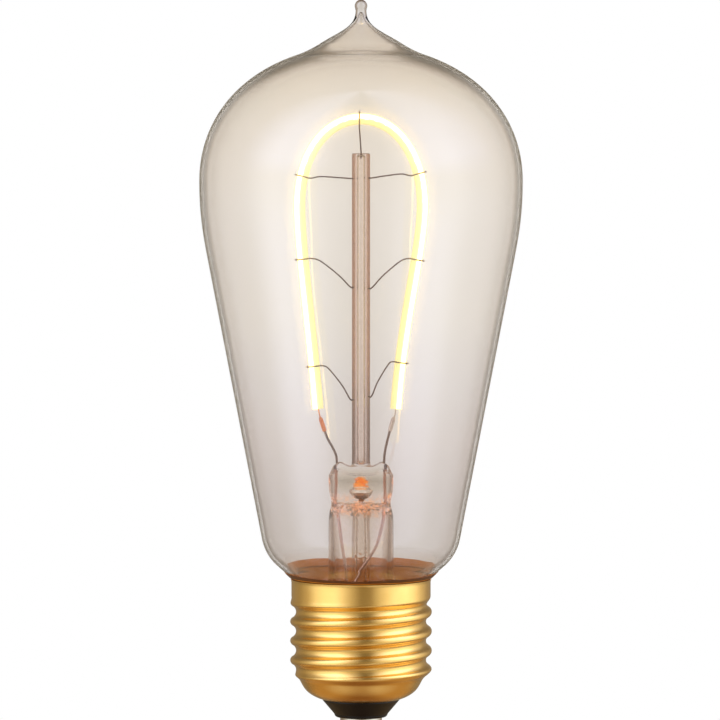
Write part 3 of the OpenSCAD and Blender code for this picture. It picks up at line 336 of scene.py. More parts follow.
cement = [circle(NECK_R + CEMENT_FIT, CEMENT_Z, CEMENT_SIDES)]
cement += [circle(r, z, CEMENT_SIDES) for r, z in below]
# Up the glass to the top of the bead and down its skin, as (share of its height, thickness).
for share, thick in ((0, 0), (0.25, 0), (0.5, 0), (0.75, 0), (1, 0), (0.93, 0.07), (0.7, 0.11), (0.4, 0.14),
                     (0.15, 0.16)):
    z = MOUTH_Z + share * (bead_top - MOUTH_Z)
    cement.append(circle(on_glass(z, CEMENT_FIT + thick), z, CEMENT_SIDES))
# Over the rim of the shell and down its inner face.
for r, z in ((12.92, RIM_Z + 0.3), (12.9, RIM_Z + 0.1), (12.83, RIM_Z + 0.03), (12.75, RIM_Z - 0.3),
             (12.69, RIM_Z - 0.6), (12.69, 24.4), (11.84, CEMENT_Z)):
    cement.append(circle(r, z, CEMENT_SIDES))
cement_ring = rings("basing_cement_baked", cement, closed=True, sharp=40)
place(cement_ring, "basing_cement", "basing_cement")


def place_along(tree, axis):
    """How far along an axis of its object a point lies, in metres."""
    return add(tree, "SeparateXYZ", {0: (add(tree, "TexCoord"), "Object")}), axis


def height(tree, low, high, at_low=0.0):
    """How far up a point of a piece lies between two heights in mm, from at_low to 1."""
    return add(tree, "MapRange", {"Value": place_along(tree, "Z"), "From Min": low * MM,
                                  "From Max": high * MM, "To Min": at_low})


# Baked phenolic against the glass: bright red-brown and mottled, with a painted glow that stands for the
# light of the lamp above shining through it, strongest at its upper edge.
baked_cement = plain("baked phenolic cement with painted glow", "8C4C0C", "B8701C", 2.5, 0.5, 0.0, 0.12,
                     lambda tree: height(tree, 27.2, 28.8, 0.6))
# Its outer skin: the cement drawn darker brown as painted shade, with a faint painted glow.
shaded_cement_skin = plain("cement skin in painted shade, with painted glow", "301404", "6E3A0C", 1.43, 0.4, 0.0, 0.08, 0.1)
wear(cement_ring, baked_cement, shaded_cement_skin)
for polygon in cement_ring.data.polygons:
    polygon.material_index = int(polygon.index // CEMENT_SIDES >= len(below) + 5)

# The glass stem.
# Lead glass, one piece after the flame has melted it together: flare, tube, flattened press, exhaust
# tube and the hollow centre rod. The lead wires are sealed straight through the press.
STEM_SIDES = 112
# The rod has a melted end, and a foot that spreads on the press. Its bore ends below that.
ROD_R, ROD_TOP, ROD_EDGE, ROD_FOOT_R, ROD_FOOT_H = 1.7, 106.6, 0.3, 1.95, 1.2
ROD_BORE, BORE_TOP, BORE_END = 0.575, 106.25, 48.65
# The press reaches PRESS_W to each side and PRESS_T to front and back. PRESS_BOTTOM is its inner end.
PRESS_TOP, PRESS_END, PRESS_BOTTOM, PRESS_W, PRESS_T, PRESS_POWER = 48.4, 41.6, 40.6, 6.0, 1.9, 2.7
# The tube is round below TUBE_Z and flares out below TUBE_FOOT.
TUBE_R, TUBE_BORE, TUBE_Z, TUBE_FOOT = 6.1, 5.0, 33.2, 28.0
EXHAUST_R, EXHAUST_TIP, EXHAUST_BORE, BUBBLE_FOOT = 1.7, 14.2, 0.75, 42.3


def oval(half_w, half_t, power, z):
    """A loop between an ellipse (power 2) and a rounded block (power 4)."""
    t = np.linspace(0, 2 * math.pi, STEM_SIDES, endpoint=False)
    c, s = np.cos(t), np.sin(t)
    x = half_w * np.sign(c) * np.abs(c) ** (2 / power)
    y = half_t * np.sign(s) * np.abs(s) ** (2 / power)
    return np.column_stack([x, y, np.broadcast_to(z, (STEM_SIDES,))])


def humps(loop):
    """Rise of the two shoulders of the press beside the rod."""
    return 0.85 * np.exp(-((np.abs(loop[:, 0]) - 3.9) / 1.1) ** 2)


def press_waist(z):
    """How far the sides are drawn in where the jaws of the press ended."""
    return 0.5 * math.exp(-((z - 41.7) / 1.6) ** 2)


# The outer skin, from the end of the rod down to the flare, and up inside it to the exhaust tube.
loops = [oval(0, 0, 2, ROD_TOP)]
for t in np.radians([25, 45, 60, 72, 82, 90]):
    r = ROD_R - ROD_EDGE * (1 - math.sin(t))
    loops.append(oval(r, r, 2, ROD_TOP - ROD_EDGE * (1 - math.cos(t))))
loops += [oval(ROD_R, ROD_R, 2, z) for z in np.linspace(ROD_TOP - 0.8, PRESS_TOP + ROD_FOOT_H, 60)]
for t in np.radians(np.linspace(11, 90, 7)):
    r = ROD_R + (ROD_FOOT_R - ROD_R) * (1 - math.cos(t))
    loops.append(oval(r, r, 2, PRESS_TOP + ROD_FOOT_H - math.sin(t)))
# Over the top of the press the loops grow from the foot of the rod to the outline of the press.
for t in np.linspace(0.08, 1, 16):
    loop = oval(ROD_FOOT_R + (PRESS_W - ROD_FOOT_R) * t, ROD_FOOT_R + (PRESS_T - ROD_FOOT_R) * t,
                2 + (PRESS_POWER - 2) * t, 0)
    edge = 1.5 * ease(0.72, 1.0, t) ** 1.5
    rise = (ROD_FOOT_H - 1) * (1 - math.sin(t * math.pi / 2))
    loop[:, 2] = PRESS_TOP + rise + humps(loop) - edge
    loops.append(loop)
for s in np.linspace(0, 1, 26):
    z = PRESS_TOP - 1.4 - s * (PRESS_TOP - 1.4 - PRESS_END)
    wavy = PRESS_T + 0.14 * math.sin((z - PRESS_END) * 1.1)
    loop = oval(PRESS_W - press_waist(z), wavy, PRESS_POWER, z)
    loop[:, 2] += (1 - ease(0, 0.25, s)) * 0.9 * humps(loop)
    loops.append(loop)
# Below the press the flat sides swell out into the round tube.
for t in np.linspace(0.05, 1, 26):
    z = PRESS_END - (PRESS_END - TUBE_Z - 0.2) * t
    loops.append(oval(PRESS_W + (TUBE_R - PRESS_W) * t - press_waist(z),
                      PRESS_T + (TUBE_R - PRESS_T) * ease(-0.15, 1, t),
                      PRESS_POWER - (PRESS_POWER - 2) * ease(0, 0.8, t), z))
loops += [oval(TUBE_R, TUBE_R, 2, z) for z in np.linspace(TUBE_Z - 0.2, TUBE_FOOT + 0.2, 8)]
NECK_WALL, FLARE_LIP = 1.2, 0.7
SEAL_R = NECK_R - NECK_WALL
flare_outside = [(TUBE_R, TUBE_FOOT), (TUBE_R, TUBE_FOOT - 5), (SEAL_R - 1.8, NECK_SEAL + 1),
                 (SEAL_R, NECK_SEAL)]
flare_inside = [(SEAL_R - 0.2, NECK_SEAL - FLARE_LIP), (SEAL_R - 3, NECK_SEAL), (TUBE_BORE, TUBE_FOOT - 5.6),
                (TUBE_BORE, TUBE_FOOT)]
loops += [oval(r, r, 2, z) for r, z in bezier(flare_outside, np.linspace(0, 1, 24))]
loops += [oval(NECK_R, NECK_R, 2, z) for z in (NECK_SEAL, NECK_SEAL - FLARE_LIP)]
loops += [oval(r, r, 2, z) for r, z in bezier(flare_inside, np.linspace(0, 1, 24))]
loops += [oval(TUBE_BORE, TUBE_BORE, 2, z) for z in np.linspace(TUBE_FOOT + 0.7, TUBE_Z - 0.2, 8)]
for t in np.linspace(0.06, 1, 22):
    narrow = TUBE_BORE - (TUBE_BORE - 1.9) * ease(0, 1.1, t)
    loops.append(oval(TUBE_BORE + 0.1 * t, narrow, 2, TUBE_Z + (PRESS_BOTTOM - TUBE_Z) * t))
# The roof of the hollow is puckered where the flame closed it round the exhaust tube.
for t in np.linspace(0.1, 1, 9):
    loop = oval(5.1 + (EXHAUST_R - 5.1) * t, 2.0 + (EXHAUST_R - 2.0) * t, 2, PRESS_BOTTOM)
    turn_at = np.arctan2(loop[:, 1], loop[:, 0])
    pucker = 0.25 * np.sin(7 * turn_at + 5 * t) + 0.15 * np.sin(12 * turn_at - 7 * t)
    loop[:, 2] += 1.2 * t + 0.9 * pucker * math.sin(t * math.pi) ** 0.7
    loops.append(loop)
loops += [oval(EXHAUST_R, EXHAUST_R, 2, z)
          for z in np.linspace(PRESS_BOTTOM + 0.8, EXHAUST_TIP + EXHAUST_R, 30)]
for t in np.radians(np.linspace(80, 0, 8)):
    r = EXHAUST_R * math.sin(t)
    loops.append(oval(r, r, 2, EXHAUST_TIP + EXHAUST_R * (1 - math.cos(t))))
stem_skin = rings("stem_skin", loops, flip=True)

# The bore of the rod, and the bore of the exhaust tube with the bubble blown where it meets the press.
rod_bore = [(0, BORE_TOP), (0.4, BORE_TOP - 0.05), (ROD_BORE, BORE_TOP - 0.25)]
rod_bore += [(ROD_BORE, z) for z in np.linspace(BORE_TOP - 0.75, BORE_END + 0.15, 40)]
rod_bore += [(0.5, BORE_END + 0.05), (0, BORE_END)]
rod_void = lathe("stem_rod_bore", rod_bore, STEM_SIDES)
bubble = [oval(0, 0, 2, 46.7)]
for wide, z in bezier([(0.3, 46.65), (1.2, 46.5), (1.3, 45.6), (1.4, 44.6)], np.linspace(0, 1, 14)):
    loop = oval(wide, 0.62 * wide, 2, z)
    turn_at = np.arctan2(loop[:, 1], loop[:, 0])
    lumps = 1 + 0.13 * np.sin(3 * turn_at + 5 * z) + 0.08 * np.sin(5 * turn_at - 7 * z + 1)
    bubble.append(loop * np.column_stack([lumps, lumps, np.ones(STEM_SIDES)]))
for wide, z in bezier([(1.4, 44.6), (1.5, 44.2), (2.2, 44.2), (2.15, 43.7)], np.linspace(0.15, 1, 8)):
    bubble.append(oval(wide, 0.55 * wide, 2.0, z))
for wide, z in bezier([(2.15, 43.7), (2.0, 43.1), (1.5, 42.5), (0.6, BUBBLE_FOOT)], np.linspace(0.15, 1, 8)):
    bubble.append(oval(wide, max(0.55 * wide, 0.5), 2, z))
bore = []
for z in np.linspace(BUBBLE_FOOT, EXHAUST_TIP + 0.7, 60)[1:]:
    r = EXHAUST_BORE - 0.4 * math.exp(-((z - BUBBLE_FOOT + 0.4) / 1.0) ** 2)
    bore.append(oval(r, r, 2, z))
exhaust_void = rings("stem_exhaust_bore", bubble + bore + [oval(0, 0, 2, EXHAUST_TIP + 0.4)])


def clear_glass(name, tint, ior, waves=None, haze=None, glow=None):
    """Glass that lets lamp light straight through. tint, waves (the relief in mm) and glow (a painted glow
    for the light of the strip caught in it) may be functions of the tree. haze gives the share of light that
    is spread, and its roughness."""
    material, tree = new_material(name)
    colour = tint(tree) if callable(tint) else tint
    sockets = {"Base Color": colour, "Roughness": 0.0, "IOR": ior, "Transmission Weight": 1.0}
    if glow:
        sockets |= {"Emission Color": glow(tree), "Emission Strength": 1.0}
    if waves:
        sockets["Normal"] = add(tree, "Bump", {"Height": waves(tree), "Strength": 1.0, "Distance": MM})
    body = add(tree, "BsdfPrincipled", sockets)
    if haze:
        soft = add(tree, "BsdfRefraction", {"Color": colour, "Roughness": haze[1], "IOR": ior})
        body = add(tree, "MixShader", {0: haze[0], 1: body, 2: soft})
    through = add(tree, "BsdfTransparent", {"Color": "F4F1EE"})
    path = add(tree, "LightPath")
    mix = add(tree, "MixShader", {0: (path, "Is Shadow Ray"), 1: body, 2: through})
    add(tree, "OutputMaterial", {"Surface": mix})
    return material


def relief(tree, size, depth, share=1.0):
    """A wavy height of depth mm in patches of size mm, by a share from 0 to 1."""
    wave = add(tree, "Math", {0: mottle(tree, size, 1.0), 1: depth}, operation="MULTIPLY")
    return add(tree, "Math", {0: wave, 1: share}, operation="MULTIPLY")


def by_height(tree, stops):
    """A colour for each height of a piece in mm, straight between the stops."""
    low, high = stops[0][0], stops[-1][0]
    shares = [((z - low) / (high - low), colour) for z, colour in stops]
    return add(tree, "ValToRGB", {0: height(tree, low, high)}, shares)


def folded(tree):
    """1 where the flame folded the glass at the foot of the press, else 0."""
    return by_height(tree, [(38.8, "000000"), (39.9, "FFFFFF"), (42.4, "FFFFFF"), (43.6, "000000")])


def stem_waves(tree):
    """The long waves of hot working, and the sharp little folds at the foot of the press."""
    folds = relief(tree, 1.0, 0.36, folded(tree))
    return add(tree, "Math", {0: relief(tree, 2.86, 0.02), 1: folds}, operation="ADD")


def fold_lines(tree, thin=0.05):
    """0 on the crests of the little folds, 1 between them."""
    centred = add(tree, "Math", {0: mottle(tree, 1.43, 1.0), 1: 0.5}, operation="SUBTRACT")
    ridge = add(tree, "Math", {0: centred}, operation="ABSOLUTE")
    return add(tree, "MapRange", {"Value": ridge, "From Min": 0.01, "From Max": thin})


def stem_painted_glow(tree):
    """A painted glow for the little light of the strip that the press scatters, which its folds catch as
    copper lines.
    """
    lines = add(tree, "Mix", {0: fold_lines(tree, 0.035), 6: "8A6A4C", 7: "2A1E16"}, data_type="RGBA")
    press = add(tree, "Mix", {0: folded(tree), 6: "221F1C", 7: lines}, data_type="RGBA")
    share = by_height(tree, [(30.2, "000000"), (33.2, "FFFFFF"), (48.2, "FFFFFF"), (49.4, "000000")])
    return add(tree, "Mix", {0: share, 6: "000000", 7: press}, data_type="RGBA")


def stem_tint(tree):
    """Pale glass. At its edges the rod is painted copper beside the lit strip, a painted reflection of the
    strip, and grey-taupe below it as painted shade. The press is darker at its sides and has a band of
    painted shade across its middle, and the crests of the little folds at its foot are tinted pink.
    """
    grazing = add(tree, "LayerWeight", {"Blend": 0.5})
    wall = add(tree, "MapRange", {"Value": (grazing, "Facing"), "From Min": 0.08, "From Max": 0.2})
    # Painted reflection of the strip: copper up the rod beside it, grey-taupe painted shade below.
    rod_edge_painted_light = by_height(tree, [(54, "B4A29A"), (60.3, "BEA69C"), (68, "E0B6A2"), (110, "DEB6A6")])
    rod = add(tree, "Mix", {0: wall, 6: "F6EAE4", 7: rod_edge_painted_light}, data_type="RGBA")
    beside = add(tree, "Math", {0: place_along(tree, "X")}, operation="ABSOLUTE")
    side = add(tree, "MapRange", {"Value": beside, "From Min": 4.6 * MM, "From Max": 5.2 * MM})
    # A band of painted shade across the middle of the press.
    middle = by_height(tree, [(42.6, "FCF8F4"), (44.6, "E6E0D4"), (45.8, "D2CCBE"), (47.2, "F2EEE4"),
                              (48.6, "FFFFFC")])
    pressed = add(tree, "Mix", {0: side, 6: middle, 7: "D6C4B6"}, data_type="RGBA")
    fold_tint = add(tree, "Mix", {0: fold_lines(tree), 6: "FFC6A4", 7: "FFF4EC"}, data_type="RGBA")
    body = add(tree, "Mix", {0: folded(tree), 6: pressed, 7: fold_tint}, data_type="RGBA")
    above = by_height(tree, [(48.6, "000000"), (49.2, "FFFFFF")])
    return add(tree, "Mix", {0: above, 6: body, 7: rod}, data_type="RGBA")


def bubble_look(tree, light, dark, below):
    """A mottle of two colours over the top of the bubble, and colours for each height below."""
    patches = add(tree, "MapRange", {"Value": mottle(tree, 0.909), "From Min": 0.4, "From Max": 0.6})
    patchy_top = add(tree, "Mix", {0: patches, 6: light, 7: dark}, data_type="RGBA")
    top = by_height(tree, [(44.4, "000000"), (44.7, "FFFFFF")])
    return add(tree, "Mix", {0: top, 6: by_height(tree, below), 7: patchy_top}, data_type="RGBA")


def bubble_tint(tree):
    """The top of the bubble is tinted orange in patches, and its lower rim brown."""
    return bubble_look(tree, "FFB868", "FF7E18", [(41.84, "FFFFFF"), (42.08, "6A3414"), (42.62, "8A4A20"),
                                                  (42.86, "5A2A10"), (43.1, "FFFFFF")])


def bubble_painted_glow(tree):
    """Painted glow: the orange top of the bubble stands for the light of the strip caught in it, the brown
    rim glows faintly, and the pale band between them is a painted highlight.
    """
    return bubble_look(tree, "C07A1C", "A04A06", [(41.6, "000000"), (42.08, "2C1406"), (42.86, "2C1406"),
                                                  (43.16, "5C564E")])


# Lead glass, fire polished: bright, denser than the bulb, with the faint waves of hot working. Its colours
# hold a painted reflection of the strip at the rod's edges, painted shade across the press, and a painted
# glow.
lead_glass = clear_glass("fire-polished lead glass", stem_tint, 1.53, stem_waves, glow=stem_painted_glow)
# The drawn bore of the rod, clean and colourless.
bore_glass = clear_glass("drawn bore of lead glass", "FFFEFC", 1.53)
# The bore of the exhaust tube, with the tinted bubble at its top and its painted glow.
bubble_bore_glass = clear_glass("tinted lead glass of the exhaust bore, with painted glow", bubble_tint, 1.53,
                            lambda tree: relief(tree, 0.769, 0.15), glow=bubble_painted_glow)
wear(stem_skin, lead_glass)
wear(rod_void, bore_glass)
wear(exhaust_void, bubble_bore_glass)
stem = joined("stem_glass", (stem_skin, rod_void, exhaust_void))
place(stem, "stem_glass", "stem_flare", "centre_rod", "exhaust_tube")

# The wires of the stem.
# Nickel leads rise from the press to the filament, copper-clad wires pass through the glass, and bare
# copper leads run down inside the flare to the driver.
LEAD_D, TAIL_D, TAB_T, FOOT_Z = 0.46, 0.5, 0.25, PRESS_TOP - 0.6
SEAL_LEFT, SEAL_RIGHT = -4.5, 4.3


def smooth(points, steps=8):
    """A smooth line through points, with steps points for each stretch."""
    p = np.array(points, float)
    ends = np.vstack([p[0], p, p[-1]])
    t = np.linspace(0, 1, steps, endpoint=False)[:, None]
    parts = []
    for i in range(len(p) - 1):
        a, b, c, d = ends[i:i + 4]
        bend = (2 * a - 5 * b + 4 * c - d) * t**2 + (3 * b - a - 3 * c + d) * t**3
        parts.append(0.5 * (2 * b + (c - a) * t + bend))
    return np.vstack(parts + [p[-1:]])


def wire(name, points, diameter, sides=14):
    """A round wire through points in mm, with domed ends."""
    p = smooth(points)
    along = headings(p)
    side = np.eye(3)[1 if abs(along[0][1]) < 0.8 else 0]
    a = np.linspace(0, 2 * math.pi, sides, endpoint=False)[:, None]
    loops = []
    for i, (at, way) in enumerate(zip(p, along)):
        side = side - side.dot(way) * way
        side /= np.linalg.norm(side)
        ring = diameter / 2 * (np.cos(a) * side + np.sin(a) * np.cross(way, side))
        if i == 0:
            loops += [np.tile(at - 0.3 * diameter * way, (sides, 1)), at - 0.2 * diameter * way + 0.6 * ring]
        loops.append(at + ring)
        if i == len(p) - 1:
            loops += [at + 0.2 * diameter * way + 0.6 * ring, np.tile(at + 0.3 * diameter * way, (sides, 1))]
    return rings(name, loops)


# The middle line of the LED strip, which the tabs and the hooks of the supports follow.
LOOP_W, LOOP_TOP, LOOP_WIDE, LOOP_END, END_LEFT, END_RIGHT = 11.3, 112.9, 97.0, 59.2, 7.9, 6.4


def half_loop(side, end_x, count=70):
    """One half of the loop from its lower end to the top, as points (x, z)."""
    rise = LOOP_WIDE - LOOP_END
    leg = [(side * end_x, LOOP_END), (side * end_x * 1.16, LOOP_END + 0.42 * rise),
           (side * LOOP_W, LOOP_WIDE - 8), (side * LOOP_W, LOOP_WIDE)]
    arch = [(side * LOOP_W, LOOP_WIDE), (side * LOOP_W, LOOP_WIDE + 9.2),
            (side * 6.5, LOOP_TOP), (0, LOOP_TOP)]
    t = np.linspace(0, 1, count)
    return np.vstack([bezier(leg, t), bezier(arch, t)[1:]])


left_half, right_half = half_loop(-1, END_LEFT), half_loop(1, END_RIGHT)
loop_line = np.vstack([left_half, right_half[::-1][1:]])
loop_way = headings(loop_line)
loop_out = np.column_stack([-loop_way[:, 1], loop_way[:, 0]])


def capped(loops):
    """A stack of loops with a flat face at each end, round the middle of the loop."""
    ends = [np.tile(loop.mean(0), (len(loop), 1)) for loop in (loops[0], loops[-1])]
    return [ends[0], *loops, ends[1]]


def crimped_tab(name, points):
    """An end tab of the strip: flat above, bent inwards and folded round the lead below."""
    path = smooth(points)
    turns = np.linspace(0, 2 * math.pi, 20, endpoint=False)[:, None]
    loops = []
    for at, way, share in zip(path, headings(path), np.linspace(0, 1, len(path))):
        grip = ease(0.5, 0.62, share)
        side = np.array([-way[2], 0, way[0]]) * (TAB_T / 2 + 0.27 * grip)
        loops.append(at + np.cos(turns) * side + np.sin(turns) * np.array([0, 0.6 - 0.14 * grip, 0]))
    return rings(name, capped(loops), sharp=60)


tab_left = crimped_tab("filament_tab_left_crimped",
                       [(-7.95, 0, 59.7), (-7.8, 0, 58.4), (-7.4, 0, 57.0), (-6.75, 0, 55)])
tab_right = crimped_tab("filament_tab_right_crimped",
                        [(6.45, 0, 59.7), (6.4, 0, 58.4), (5.95, 0, 57.0), (5.35, 0, 55)])
lead_left = wire("lead_wire_left_drawn", [
    (SEAL_LEFT, 0, FOOT_Z), (SEAL_LEFT, 0, 49.3), (SEAL_LEFT - 0.15, 0, 50.5), (SEAL_LEFT - 0.75, 0, 51.9),
    (-6.1, 0, 53.4), (-6.75, 0, 55.0), (-7.1, 0, 56.1)], LEAD_D)
lead_right = wire("lead_wire_right_drawn", [
    (SEAL_RIGHT, 0, FOOT_Z), (SEAL_RIGHT, 0, 49.3), (SEAL_RIGHT + 0.1, 0, 50.8), (SEAL_RIGHT + 0.45, 0, 52.6),
    (5.35, 0, 55.0), (5.7, 0, 56.1)], LEAD_D)
tail_left = wire("tail_wire_left_drawn", [
    (SEAL_LEFT, 0, 41.5), (SEAL_LEFT, 0, 40.0), (-4.0, -1.2, 38.4), (-3.2, -2.7, 33), (-2.6, -3.0, 28),
    (-3.0, -3.6, 20), (-3.6, -5, 14.6), (-3.6, -5, 11)], TAIL_D)
tail_right = wire("tail_wire_right_drawn", [
    (SEAL_RIGHT, 0, 41.5), (SEAL_RIGHT, 0, 40.0), (3.9, -1.5, 38.2), (2.7, -2.9, 33.8), (0.65, -3.2, 30.2),
    (-0.95, -3.4, 27.6), (-1.6, -3.6, 25.0), (0.5, -4.0, 21), (1.6, -5.4, 14.6), (1.6, -5.4, 11)], TAIL_D)
# Drawn nickel, browned by the heat of sealing.
sealed_nickel = plain("heat-browned nickel wire", "6A5246", "9C8272", 0.556, 0.32, 1.0, 0.01)
# Bare annealed copper, bright pink, with a faint painted glow.
annealed_copper = plain("annealed copper wire", "A8806A", "F2D2C0", 0.625, 0.2, 0.95, 0.01, 0.02)
# Copper-clad wire sealed in glass, where the oxide gives it a red-brown colour, with a faint painted glow.
sealed_copper = plain("borated copper-clad wire", "B07C64", "E4B8A2", 0.5, 0.28, 0.9, 0.01, 0.05)
# Copper tabs with a painted glow of the strip's light: the left one orange where the end of the strip lights
# it, the right one pale, as a painted highlight.
left_tab_painted_glow = plain("copper tab, left, with painted glow", "B0501E", "DC8444", 0.667, 0.4, 0.6, 0.01, 0.4)
right_tab_painted_glow = plain("copper tab, right, with painted pale glow", "A89484", "E0D0C0", 0.667, 0.3, 0.8, 0.01, 0.2)
for piece, node, look, slot in ((lead_left, "lead_wire_left", sealed_nickel, "nickel_wire"),
                                (lead_right, "lead_wire_right", sealed_nickel, "nickel_wire"),
                                (tail_left, "tail_wire_left", annealed_copper, "copper"),
                                (tail_right, "tail_wire_right", annealed_copper, "copper"),
                                (tab_left, "filament_tab_left", left_tab_painted_glow, "copper"),
                                (tab_right, "filament_tab_right", right_tab_painted_glow, "copper")):
    place(piece, slot, node)
    wear(piece, look)
for node in ("seal_wire_left", "seal_wire_right"):
    wear(nodes[node], sealed_copper)
for node in ("contact_lead", "shell_lead"):
    wear(nodes[node], annealed_copper)

# The support wires.
# Thin molybdenum wires, pressed into the soft glass of the rod, rise to the strip and hook round its
# outer edge, so that it keeps its shape.
STRIP_W, STRIP_IN, STRIP_OUT, SUPPORT_D, SUPPORT_FOOT = 2.1, 0.95, 1.15, 0.28, 0.9
HOOK_GAP = 0.08 + SUPPORT_D / 2
HOOK_Y = STRIP_W / 2 + HOOK_GAP


def hook(centre, out):
    """The points of the wire in front of the strip, round its outer edge and back behind it."""
    edge = STRIP_OUT + HOOK_GAP + 0.12
    steps = [(-STRIP_IN - 0.5, -1), (-0.2, -1), (STRIP_OUT, -1), (edge, -0.5), (edge, 0.5),
             (STRIP_OUT, 1), (-0.3, 1)]
    return [(centre[0] + o * out[0], y * HOOK_Y, centre[1] + o * out[1]) for o, y in steps]


def side_support(name, side, half, rod_z, grip_z):
    """A support from the rod to the strip on one side."""
    x, low, high = (np.interp(grip_z + d, half[:, 1], half[:, 0]) for d in (0, -0.4, 0.4))
    way = np.array([high - low, 0.8]) / math.hypot(high - low, 0.8)
    reach, rise = abs(x) - STRIP_IN - ROD_R, grip_z - rod_z
    points = [(side * (SUPPORT_FOOT + 0.1), 0, rod_z), (side * (ROD_R + 0.25), 0, rod_z),
              (side * (ROD_R + 0.3 * reach), -0.35 * HOOK_Y, rod_z + 0.42 * rise),
              (side * (ROD_R + 0.72 * reach), -0.8 * HOOK_Y, rod_z + 0.93 * rise)]
    return wire(name, points + hook((x, grip_z), side * np.array([way[1], -way[0]])), SUPPORT_D, sides=10)


top_points = [(0, 0, ROD_TOP - 0.9), (0, 0, ROD_TOP + 0.3), (-0.15, -0.5 * HOOK_Y, ROD_TOP + 2.6)]
top_support = wire("top_support_wire_drawn", top_points + hook((-0.3, LOOP_TOP), (0, 1)), SUPPORT_D, sides=10)
supports = [("top_support_wire", top_support)]
for side, half, word, heights in ((-1, left_half, "left", ((101.9, 102.3), (81.8, 87.0), (60.9, 67.1))),
                                  (1, right_half, "right", ((102.0, 102.8), (81.6, 86.9), (61.5, 67.8)))):
    for level, (rod_z, grip_z) in zip(("upper", "middle", "lower"), heights):
        node = f"{level}_{word}_support_wire"
        supports.append((node, side_support(node + "_drawn", side, half, rod_z, grip_z)))
# Drawn molybdenum, brown-grey from the flame near the glass.
drawn_molybdenum = plain("drawn molybdenum wire", "5B4741", "86706A", 0.667, 0.34, 1.0, 0.01)
for node, piece in supports:
    place(piece, "support_wire", node)
    wear(piece, drawn_molybdenum)

# The LED filament.
# A flexible strip: bare LED chips in a row on a thin copper-plated base, potted on both sides in
# silicone with yellow phosphor. The chip side faces out and is the brighter one.
BASE_T, STRIP_HALF = 0.3, STRIP_W / 2


def strip_layer(name, section):
    """A cross-section of (out, y) carried along the loop, with flat ends."""
    section = np.array(section)
    loops = []
    for at, way in zip(loop_line, loop_out):
        across = section[:, :1] * way
        loops.append(np.column_stack([at[0] + across[:, 0], section[:, 1], at[1] + across[:, 1]]))
    return rings(name, capped(loops), sharp=60)


def dome(low, high, corner, steps=6):
    """A layer's cross-section: flat at low, with rounded corners at high."""
    way = 1 if high > low else -1
    points = [(low, -way * STRIP_HALF)]
    for sign, turns in ((-1, np.linspace(0, 90, steps)), (1, np.linspace(90, 0, steps))):
        for t in np.radians(turns):
            points.append((high - way * corner * (1 - math.sin(t)),
                           way * sign * (STRIP_HALF - 0.6 + 0.6 * math.cos(t))))
    return points + [(low, way * STRIP_HALF)]


outer_potting = strip_layer("filament_outer_potting", dome(BASE_T / 2, STRIP_OUT, 0.5))
inner_potting = strip_layer("filament_inner_potting", dome(-BASE_T / 2, -STRIP_IN, 0.45))


def lit(name, code, face, face_strength, edge, edge_strength):
    """Silicone with phosphor that gives light, of one colour square on and another where it turns away."""
    material, tree = new_material(name)
    grazing = add(tree, "LayerWeight", {"Blend": 0.5})
    turned = add(tree, "ValToRGB", {0: (grazing, "Facing")}, [(0.0, face), (0.35, face), (0.8, edge)])
    power = add(tree, "MapRange", {"Value": (grazing, "Facing"), "From Min": 0.2, "From Max": 0.8,
                                   "To Min": face_strength, "To Max": edge_strength})
    glowing = add(tree, "BsdfPrincipled", {"Base Color": code, "Roughness": 0.4, "Emission Color": turned,
                                           "Emission Strength": power})
    add(tree, "OutputMaterial", {"Surface": glowing})
    return material


# Phosphor silicone over the chips, lit: far brighter than the room, so it reads as white, and yellow
# where it curves away.
bright_phosphor = lit("lit phosphor silicone, chip side", "D8B860", "FFDE88", 7.0, "FFE070", 1.5)
# The back of the strip, lit through the base: lemon yellow.
back_phosphor = lit("lit phosphor silicone, back", "A08840", "FFF8B4", 1.0, "FFEA90", 0.8)
# The plated base, which glows between them.
base_look = lit("lit copper-plated polyimide", "C08A50", "FFF0A0", 1.6, "FFE080", 1.2)
# A blue die under its phosphor, at full light.
chip_look = lit("lit LED die", "F0F0D8", "FFE8B0", 20.0, "FFE8B0", 20.0)
place(outer_potting, "phosphor_chip_side", "filament_outer_phosphor")
wear(outer_potting, bright_phosphor)
place(inner_potting, "phosphor_back", "filament_inner_phosphor")
wear(inner_potting, back_phosphor)
wear(nodes["filament_base"], base_look)
wear(nodes["led_chips"], chip_look)

# The glass envelope.
# Clear soda-lime glass, blown in a mould and drawn to a pip where the tube was melted off. The wall
# is even, and thickens towards the neck and under the pip.
WALL, CAVITY_R, CAVITY_TOP, ENVELOPE_SIDES = 0.7, 0.36, 132.7, 230
walls = WALL + (NECK_WALL - WALL) * (1 - ease(MOUTH_Z - 4.5, MOUTH_Z - 1.8, glass_line[:, 1]))
inner_line = offset(glass_line, walls)
inner_line = inner_line[inner_line[:, 0] > CAVITY_R]
knob_start = math.pi - math.asin(1 / PIP_R)
knob = [(PIP_R * math.sin(t), PIP_Z + PIP_R * math.cos(t)) for t in np.linspace(knob_start, 0, 16)[1:-1]]
tip_r, tip_z = inner_line[-1]
closing = [(tip_r * math.cos(t), tip_z + (CAVITY_TOP - tip_z) * math.sin(t))
           for t in np.radians([30, 55, 75])]
outer_line = [*glass_line, *knob, (0, PIP_Z + PIP_R)]
cavity_line = [*inner_line, *closing, (0, CAVITY_TOP)]
outer_face = lathe("envelope_outside", outer_line, ENVELOPE_SIDES)
inner_face = lathe("envelope_inside", cavity_line, ENVELOPE_SIDES, flip=True)
seal_face = lathe("envelope_seal", [inner_line[0], (NECK_R, NECK_SEAL)], ENVELOPE_SIDES)
envelope = joined("glass_envelope_blown", (outer_face, inner_face, seal_face))
bpy.ops.object.mode_set(mode="EDIT")
bpy.ops.mesh.select_all(action="SELECT")
